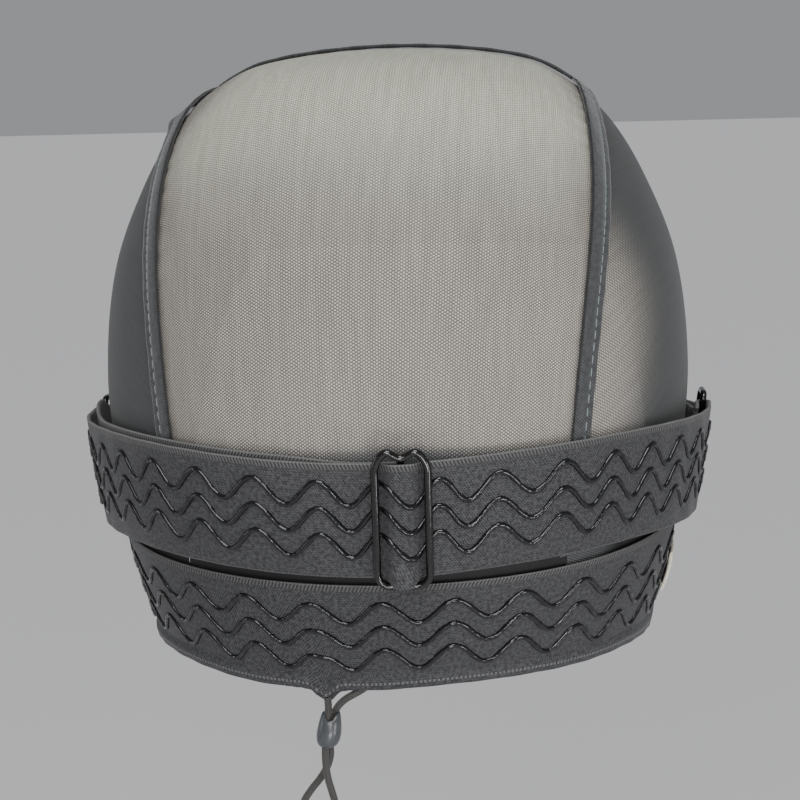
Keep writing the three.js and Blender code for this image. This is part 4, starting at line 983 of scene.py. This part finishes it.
nape_elastic = knit_elastic("nape_elastic", HEM_HEIGHT)
nape_shares, nape_full = edge_rows(34, NAPE_HEIGHT, 0.0006)
nape_angles = np.linspace(-NAPE_END_ANGLE, NAPE_END_ANGLE, 521)
nape_run = nape_length_at(nape_angles)
nape_thick = ELASTIC_THICKNESS + (HEM_THICKNESS - ELASTIC_THICKNESS) * (
    smooth_step(1 - HEM_HEIGHT / NAPE_HEIGHT, 1 - 0.66 * HEM_HEIGHT / NAPE_HEIGHT, nape_shares)
    - 0.25 * smooth_step(0.985, 1.0, nape_shares)
)
from_funnel = (nape_run - FUNNEL_PLACE)[:, None]
gather = np.exp(-(from_funnel / 0.007) ** 2) * smooth_step(0.72, 1.0, nape_shares)[None, :]
gather = gather * GATHER_HEIGHT * np.cos(2 * math.pi * from_funnel / GATHER_PITCH)
ripple = np.sin(nape_run * 2 * math.pi / 0.011)[:, None] * smooth_step(0.9, 1.0, nape_shares)[None, :]
ripple = 0.00012 * ripple
middle = nape_thick[None, :] / 2 + gather + ripple
half = nape_thick * nape_full / 2
nape_inner = nape_point(nape_angles[:, None], nape_shares[None, :], np.maximum(middle - half[None, :], 0))
nape_outer = nape_point(nape_angles[:, None], nape_shares[None, :], middle + half[None, :])
nape_threads = np.stack(np.broadcast_arrays(
    nape_run[:, None], nape_shares[None, :] * NAPE_HEIGHT, (1 - nape_shares[None, :]) * NAPE_HEIGHT), -1)
band("nape_elastic_band", nape_inner, nape_outer, nape_threads, nape_elastic, "elastic", "nape_band")


# Adjuster strap
# One long elastic of the same kind. It is sewn back on itself round the right ring, runs over the
# bar of the slide and round the left ring, and comes back under itself to the slide.
PIECE_GAP = 0.0003
MID_CLEARANCE = 0.0015
RING_CLEARANCE = {-1: 0.0028, 1: 0.0017}
RING_ANGLE = 90
RING_WIRE = 0.0017
SLIDE_PLACE = 0.0088
SLIDE_WIDTH = 0.0138
SLIDE_HEIGHT = 0.0336
SLIDE_WIRE = 0.0018
SLIDE_BAR_WIRE = 0.0016
SLIDE_BAR_SETBACK = 0.001
BAR_REACH = (SLIDE_WIDTH - SLIDE_WIRE) / 2
WAVE_STAND = 0.00085
RUNNING_AT_SLIDE = PIECE_GAP + ELASTIC_THICKNESS + PIECE_GAP
WIRE_LEVEL = RUNNING_AT_SLIDE + ELASTIC_THICKNESS + WAVE_STAND + PIECE_GAP + SLIDE_WIRE / 2
OVER_BAR = WIRE_LEVEL - SLIDE_BAR_SETBACK + SLIDE_BAR_WIRE / 2 + PIECE_GAP
RING_STACK = ELASTIC_THICKNESS + PIECE_GAP + RING_WIRE + PIECE_GAP
INNER_RISE = 0.0011
INNER_RISE_AT_RING = 0.0024
STRAP_ARCH = 0.002
COVER_OUT, COVER_DROP = 0.0023, 0.0017

strap_angle_at, strap_length_at = girth_table(STRAP_TOP_Z - STRAP_WIDTH / 2, MID_CLEARANCE)
RING_LENGTH = float(strap_length_at(RING_ANGLE))


def strap_z(angle, share):
    return STRAP_TOP_Z + STRAP_ARCH * np.sin(2 * np.radians(angle)) ** 2 - share * STRAP_WIDTH


def straightening(angle, share):
    """How far a stiff upright wire stands off the curved skin behind the strap."""
    def radius(h):
        return np.linalg.norm(level_point(angle, strap_z(angle, h))[..., :2], axis=-1)
    top, bottom = radius(0.0), radius(1.0)
    bulge = np.max([radius(h) - (top + (bottom - top) * h) for h in (0.33, 0.5, 0.67)], axis=0)
    return top + (bottom - top) * share + bulge - radius(share)


def strap_point(length, share, out):
    length, share, out = np.broadcast_arrays(
        np.asarray(length, float), np.asarray(share, float), np.asarray(out, float))
    angle = strap_angle_at(length)
    at_ring = smooth_step(RING_ANGLE - 35, RING_ANGLE - 8, abs(angle))
    at_slide = 1 - smooth_step(SLIDE_WIDTH * 0.6, SLIDE_WIDTH * 1.6, abs(length - SLIDE_PLACE))
    straight = np.maximum(at_ring, at_slide) * straightening(angle, share)
    return level_point(angle, strap_z(angle, share), out + straight)


def base_clearance(length):
    """How far the returning strap, the layer next to the cap, stands off it."""
    angle = strap_angle_at(length)
    slide = smooth_step(SLIDE_WIDTH * 0.6, SLIDE_WIDTH * 1.8, abs(length - SLIDE_PLACE))
    ring = smooth_step(RING_ANGLE - 40, RING_ANGLE, abs(angle))
    away = PIECE_GAP + (MID_CLEARANCE - PIECE_GAP) * slide
    at_ring = np.where(length < 0, RING_CLEARANCE[-1], RING_CLEARANCE[1])
    return away + (at_ring - away) * ring


def running_out(length):
    """How far the running strap's underside stands off the cap."""
    angle = strap_angle_at(length)
    over_bar = 1 - smooth_step(0.25, 0.92, abs(length - SLIDE_PLACE) / BAR_REACH)
    ring = smooth_step(RING_ANGLE - 40, RING_ANGLE, abs(angle))
    under_layer = ELASTIC_THICKNESS + PIECE_GAP
    single = smooth_step(BAR_REACH, SLIDE_WIDTH * 2, length - SLIDE_PLACE) * (1 - ring)
    resting = base_clearance(length) + under_layer * (1 - single)
    return resting + (OVER_BAR - resting) * over_bar + ring * (RING_STACK - under_layer)


def ring_bar(side, share):
    out = RING_CLEARANCE[side] + ELASTIC_THICKNESS + PIECE_GAP + RING_WIRE / 2
    return strap_point(side * RING_LENGTH, share, out)


strap_shares, strap_full = edge_rows(24, STRAP_WIDTH, 0.0005)
stations = []


def lay_pair(low, high):
    """Adds a station: the strap's underside and upper side at one place, with rounded edges."""
    middle, half = (low + high) / 2, (high - low) / 2
    stations.append((middle - half * strap_full[:, None], middle + half * strap_full[:, None]))


def lay_returning(length, rise=0.0):
    out = base_clearance(length)
    low = strap_point(length, strap_shares, out + ELASTIC_THICKNESS)
    high = strap_point(length, strap_shares, out)
    lift = np.array([0, 0, rise])
    lay_pair(low + lift, high + lift)


def lay_fold(side, turns):
    near = RING_WIRE / 2 + PIECE_GAP
    bar = ring_bar(side, strap_shares)
    for turn in turns:
        rim = np.array([side * math.cos(turn), math.sin(turn), 0])
        lay_pair(bar + near * rim, bar + (near + ELASTIC_THICKNESS) * rim)


fold_turns = np.linspace(0, math.pi, 17)[1:-1]
for length in np.linspace(RING_LENGTH - 0.012, RING_LENGTH, 13):
    lay_returning(length)
lay_fold(1, fold_turns[::-1])
for length in np.linspace(RING_LENGTH, -RING_LENGTH, 300):
    out = running_out(length)
    edge_wave = 0.00010 * math.sin(length * 2 * math.pi / 0.013)
    over_wire = 1 - smooth_step(0.25, 0.70, abs(length - SLIDE_PLACE) / BAR_REACH)
    bulge = over_wire * smooth_step(0.84, 0.96, strap_shares)
    resting = out + edge_wave + COVER_OUT * bulge
    drop = np.array([0, 0, -COVER_DROP]) * bulge[:, None]
    lay_pair(
        strap_point(length, strap_shares, resting) + drop,
        strap_point(length, strap_shares, resting + ELASTIC_THICKNESS) + drop,
    )
lay_fold(-1, fold_turns)
for length in np.linspace(-RING_LENGTH, SLIDE_PLACE - SLIDE_BAR_WIRE / 2 - PIECE_GAP, 150):
    from_ring = (length + RING_LENGTH) / 0.045
    rise = INNER_RISE * smooth_step(0, 0.25, from_ring)
    rise += INNER_RISE_AT_RING * smooth_step(0, 0.3, from_ring) * (1 - smooth_step(0.35, 1.0, from_ring))
    rise *= 1 - smooth_step(-0.02, 0.0, length)
    lay_returning(length, rise)

strap_low = np.array([s[0] for s in stations])
strap_high = np.array([s[1] for s in stations])
strap_run = run_lengths((strap_low + strap_high)[:, len(strap_shares) // 2] / 2)
strap_threads = np.stack(np.broadcast_arrays(
    strap_run[:, None], strap_shares[None, :] * STRAP_WIDTH, (1 - strap_shares[None, :]) * STRAP_WIDTH), -1)
strap_elastic = knit_elastic("strap_elastic")
band("strap_elastic_band", strap_low, strap_high, strap_threads, strap_elastic, "elastic", "adjuster_strap")


# Grip waves
# Wavy lines of glossy black silicone, three on the strap and three on the nape band, laid on as wet
# beads so that the elastic doesn't slip. They are raised, and a little uneven where they were drawn.
BEAD_WIDTH = 0.00125
BEAD_HEIGHT = 0.00072
BEAD_STEP = 0.00045
BEAD_SIDES = 9
STRAP_WAVE = {"pitch": 0.01475, "phase": -0.0108, "swing": 0.00285, "first": 0.0073, "row_step": 0.0063,
              "pull": 0.0025}
NAPE_WAVE = {"pitch": 0.01634, "phase": 0.0027, "swing": 0.00275, "first": 0.0076, "row_step": 0.0064,
             "pull": 0.0}

grip_silicone = Finish(
    "grip_silicone", Base_Color=(0.004, 0.004, 0.005), Roughness=0.14, Specular_IOR_Level=0.5)
bead_place = grip_silicone.add("TexCoord").outputs["Object"]
grip_silicone.relief(grip_silicone.noise(bead_place, 700, 2.0), 0.00018, 0.5)


def wave_bead(name, node, wave, row, end, place):
    """A half-round bead along a wave; place gives the band's outer face by length and drop."""
    lengths = np.linspace(-end, end, int(2 * end / BEAD_STEP))
    middle = wave["first"] + row * wave["row_step"]

    def drop(length):
        drawn = length + wave["pull"] * np.exp(-((length - 0.028) / 0.015) ** 2)
        drawn = drawn - 0.4 * wave["pull"] * np.exp(-((length + 0.014) / 0.015) ** 2)
        return middle - wave["swing"] * np.cos(2 * math.pi * (drawn - wave["phase"]) / wave["pitch"])

    nudge = 0.0001
    foot = place(lengths, drop(lengths))
    along = place(lengths + nudge, drop(lengths + nudge)) - place(lengths - nudge, drop(lengths - nudge))
    level = place(lengths + nudge, drop(lengths)) - place(lengths - nudge, drop(lengths))
    steep = place(lengths, drop(lengths) - nudge) - place(lengths, drop(lengths) + nudge)
    up = np.cross(level, steep)
    up /= np.linalg.norm(up, axis=1)[:, None]
    side = np.cross(along, up)
    side /= np.linalg.norm(side, axis=1)[:, None]
    s = lengths * 2 * math.pi
    uneven = 1 + 0.07 * np.sin(s / 0.0031 + row) + 0.06 * np.sin(s / 0.0013 + 2 * row)
    uneven = uneven + 0.05 * np.sin(s / 0.0076)
    taper = np.clip((end - abs(lengths)) / 0.0012, 0.05, 1) ** 0.5
    rings = []
    for turn in np.linspace(0, math.pi, BEAD_SIDES):
        reach = np.cos(turn) * BEAD_WIDTH / 2 * uneven * taper
        height = np.sin(turn) ** 0.9 * BEAD_HEIGHT * uneven * taper - 0.00004
        rings.append(foot + side * reach[:, None] + up * height[:, None])
    points = np.stack(rings, 1)
    count, sides = points.shape[:2]
    faces = []
    for i in range(count - 1):
        for k in range(sides):
            m = (k + 1) % sides
            faces.append((i * sides + k, i * sides + m, (i + 1) * sides + m, (i + 1) * sides + k))
    faces.append(tuple(range(sides))[::-1])
    faces.append(tuple(range((count - 1) * sides, count * sides)))
    shape_piece(name, points, faces, points, grip_silicone, "grip_silicone", node)


def on_strap(length, drop):
    return strap_point(length, drop / STRAP_WIDTH, running_out(length) + ELASTIC_THICKNESS)


def on_nape(length, drop):
    return nape_point(nape_angle_at(length), drop / NAPE_HEIGHT, ELASTIC_THICKNESS)


strap_end = RING_LENGTH - 0.003
nape_end = float(nape_length_at(NAPE_END_ANGLE)) - 0.003
for row in range(3):
    wave_bead(f"strap_bead_{row + 1}", f"strap_wave_{row + 1}", STRAP_WAVE, row, strap_end, on_strap)
    wave_bead(f"nape_bead_{row + 1}", f"nape_wave_{row + 1}", NAPE_WAVE, row, nape_end, on_nape)


# Slide buckle
# A slide bent from round wire and enamelled glossy black: a tall frame with rounded shoulders and a
# shallow dip in its top, and a middle bar set back behind it that the strap runs over.
SLIDE_DIP = 0.0016
SLIDE_CORNER = 0.0032
SLIDE_SHOULDER_RISE, SLIDE_TOP_DROP = 0.0017, 0.0004


def wire_outline(half_width, half_height, painted_corner_shade, per_corner):
    """Points round a tall frame with rounded corners."""
    points = []
    for sx, sy, start in ((1, 1, 0), (-1, 1, 90), (-1, -1, 180), (1, -1, 270)):
        for i in range(per_corner + 1):
            turn = math.radians(start + 90 * i / per_corner)
            x = sx * (half_width - painted_corner_shade) + painted_corner_shade * math.cos(turn)
            points.append((x, sy * (half_height - painted_corner_shade) + painted_corner_shade * math.sin(turn)))
        corner_end = points[-1]
        following = {
            0: (-half_width + painted_corner_shade, half_height), 90: (-half_width, painted_corner_shade - half_height),
            180: (half_width - painted_corner_shade, -half_height), 270: (half_width, half_height - painted_corner_shade),
        }[start]
        for t in np.linspace(0, 1, 15)[1:-1]:
            points.append(tuple(a + (b - a) * t for a, b in zip(corner_end, following)))
    return np.array(points)


black_enamel = Finish(
    "black_enamel", Base_Color=(0.003, 0.003, 0.003), Roughness=0.11, Specular_IOR_Level=0.55)
enamel_place = black_enamel.add("TexCoord").outputs["Object"]
black_enamel.relief(black_enamel.noise(enamel_place, 420, 2.0), 0.0001, 0.25)

slide_top = strap_point(SLIDE_PLACE, 0.0, WIRE_LEVEL)
slide_low = strap_point(SLIDE_PLACE, 1.0, WIRE_LEVEL)
slide_across = strap_point(SLIDE_PLACE + 0.0005, 0.5, 0.0) - strap_point(SLIDE_PLACE - 0.0005, 0.5, 0.0)
slide_across[2] = 0
slide_across /= np.linalg.norm(slide_across)
slide_up = (slide_top - slide_low) / np.linalg.norm(slide_top - slide_low)
slide_out = np.cross(slide_across, slide_up)
slide_centre = (slide_top + slide_low) / 2
half_height = (SLIDE_HEIGHT - SLIDE_WIRE) / 2
outline = wire_outline(BAR_REACH, half_height, SLIDE_CORNER, 10)
shoulder = SLIDE_SHOULDER_RISE * (1 - (abs(outline[:, 0]) / BAR_REACH) ** 4) - SLIDE_TOP_DROP
dip = SLIDE_DIP * (0.5 + 0.5 * np.cos(math.pi * np.clip(outline[:, 0] / (BAR_REACH * 0.62), -1, 1)))
heights = outline[:, 1] + np.where(outline[:, 1] > half_height * 0.75, shoulder - dip, 0)
frame_path = slide_centre + outline[:, :1] * slide_across + heights[:, None] * slide_up
bar_top = half_height - SLIDE_DIP + SLIDE_SHOULDER_RISE - SLIDE_TOP_DROP
bar_heights = np.linspace(-half_height, bar_top, 40)
bar_path = slide_centre + bar_heights[:, None] * slide_up - SLIDE_BAR_SETBACK * slide_out * np.clip(
    (half_height - abs(bar_heights)) / 0.0015, 0, 1)[:, None]
frame_points, frame_faces, frame_threads = round_wire(frame_path, SLIDE_WIRE / 2, 16, closed=True)
bar_points, bar_faces, bar_threads = round_wire(bar_path, SLIDE_BAR_WIRE / 2, 16)
bar_faces = [tuple(k + len(frame_points) for k in face) for face in bar_faces]
shape_piece(
    "wire_slide", np.vstack([frame_points, bar_points]), frame_faces + bar_faces,
    np.vstack([frame_threads, bar_threads]), black_enamel, "black_wire", "slide_buckle",
)


# Strap rings and their tabs
# A tall ring of the same enamelled wire at each ear. Its near bar carries the strap, and a short tab
# of plain elastic goes round its far bar and is sewn down to the side of the cap.
RING_HEIGHT = 0.0334
RING_DEPTH = 0.011
RING_CORNER = 0.0018
RING_TAB_HEIGHT = 0.022
RING_TAB_LENGTH = 0.014

tab_elastic = knit_elastic("tab_elastic")
strap_mid_z = STRAP_TOP_Z - STRAP_WIDTH / 2
far_angle = RING_ANGLE + (RING_DEPTH - RING_WIRE) / RING_LENGTH * RING_ANGLE
ring_inset = float(level_point(RING_ANGLE, strap_mid_z)[0] - level_point(far_angle, strap_mid_z)[0])
for word, side in (("left", -1), ("right", 1)):
    near = ring_bar(side, 0.5)
    far = near + np.array([-side * ring_inset, RING_DEPTH - RING_WIRE, 0])
    ring_across = (far - near) / np.linalg.norm(far - near)
    ring_up = ring_bar(side, 0.0) - ring_bar(side, 1.0)
    ring_up /= np.linalg.norm(ring_up)
    outline = wire_outline(np.linalg.norm(far - near) / 2, (RING_HEIGHT - RING_WIRE) / 2, RING_CORNER, 8)
    ring_path = (near + far) / 2 + outline[:, :1] * ring_across + outline[:, 1:] * ring_up
    shape_piece(
        f"{word}_wire_ring", *round_wire(ring_path, RING_WIRE / 2, 14, closed=True),
        black_enamel, "black_wire", f"{word}_strap_ring",
    )

    tab_shares, tab_full = edge_rows(12, RING_TAB_HEIGHT, 0.0005)
    heights = (0.5 - tab_shares) * RING_TAB_HEIGHT
    bar_near = RING_WIRE / 2 + PIECE_GAP
    outward = np.array([side, 0, 0.0])
    tab_low, tab_high = [], []

    def lay_tab(centre, low, high):
        middle, half = centre + (low + high) / 2, (high - low) / 2
        tab_low.append(middle - half * tab_full[:, None])
        tab_high.append(middle + half * tab_full[:, None])

    def leg(share, facing):
        centre = far + heights[:, None] * ring_up + np.array([0, share * RING_TAB_LENGTH, 0])
        half_width, reach = level_size(centre[:, 2], True)
        skin_x = half_width * (1 - abs(centre[:, 1] / reach) ** SECTION_POWER) ** (1 / SECTION_POWER)
        settled = side * (skin_x + PIECE_GAP + ELASTIC_THICKNESS + PIECE_GAP / 2)
        centre[:, 0] += (settled - centre[:, 0]) * share
        half = bar_near + (PIECE_GAP / 2 - bar_near) * share
        lay_tab(centre, outward * facing * half, outward * facing * (half + ELASTIC_THICKNESS))

    for share in np.linspace(1, 0, 12):
        leg(share, 1)
    for turn in np.linspace(0, math.pi, 14)[1:-1]:
        rim = outward * math.cos(turn) + np.array([0, -math.sin(turn), 0])
        lay_tab(far + heights[:, None] * ring_up, rim * bar_near, rim * (bar_near + ELASTIC_THICKNESS))
    for share in np.linspace(0, 1, 12):
        leg(share, -1)
    tab_low, tab_high = np.array(tab_low), np.array(tab_high)
    run = run_lengths(tab_high[:, 6])
    from_top = tab_shares[None, :] * RING_TAB_HEIGHT
    threads = np.stack(np.broadcast_arrays(run[:, None], from_top, RING_TAB_HEIGHT - from_top), -1)
    band(f"{word}_elastic_tab", tab_low, tab_high, threads, tab_elastic, "elastic", f"{word}_ring_tab")


# Side label
# A small blank tab of cream cotton tape, folded double and sewn to the right end of the nape band,
# so that it bows a little off the elastic.
LABEL_HEIGHT = 0.0095
LABEL_LENGTH = 0.012
LABEL_THICKNESS = 0.0011
LABEL_DROP = 0.011
LABEL_START_ANGLE = 82
LABEL_BOW = 0.0005
COTTON_DARK, COTTON_LIGHT = (0.66, 0.60, 0.47), (0.86, 0.82, 0.70)

cotton = Finish("cream_cotton", Roughness=0.85, Sheen_Weight=0.2)
along, across, _ = cotton.threads()
weave = cotton.maths("MULTIPLY", cotton.wave(along, 0.0004), cotton.wave(across, 0.0004))
weave = cotton.maths("ADD", weave, cotton.noise(cotton.place(along, across), 1200, 2.0))
cotton_tone = cotton.blend(cotton.spread(weave, -0.4, 1.4), COTTON_DARK, COTTON_LIGHT)
cotton.set(cotton.skin, "Base Color", cotton_tone)
cotton.relief(weave, 0.00006)
label_shares, label_full = edge_rows(12, LABEL_HEIGHT, 0.0008)
label_run = np.concatenate([[0.0, 0.00008, 0.0003], np.linspace(0.0006, LABEL_LENGTH, 20)])
label_start = float(nape_length_at(LABEL_START_ANGLE))
label_angle = nape_angle_at(label_start + label_run)[:, None]
label_drop = (LABEL_DROP + label_shares * LABEL_HEIGHT)[None, :] / NAPE_HEIGHT
bow = LABEL_BOW * np.sin(math.pi * label_shares)[None, :]
end_full = np.sqrt(np.clip(1 - (1 - np.clip(label_run / 0.0006, 0, 1)) ** 2, 0.02, 1))[:, None]
fold_half = LABEL_THICKNESS / 2 * label_full[None, :] * end_full
label_middle = ELASTIC_THICKNESS + WAVE_STAND - PIECE_GAP + bow + LABEL_THICKNESS / 2
label_low = nape_point(label_angle, label_drop, label_middle - fold_half)
label_high = nape_point(label_angle, label_drop, label_middle + fold_half)
label_threads = np.stack(np.broadcast_arrays(
    label_run[:, None], (label_shares * LABEL_HEIGHT)[None, :], 0 * label_low[..., 0]), -1)
band("cotton_label", label_low, label_high, label_threads, cotton, "label_cloth", "side_label")
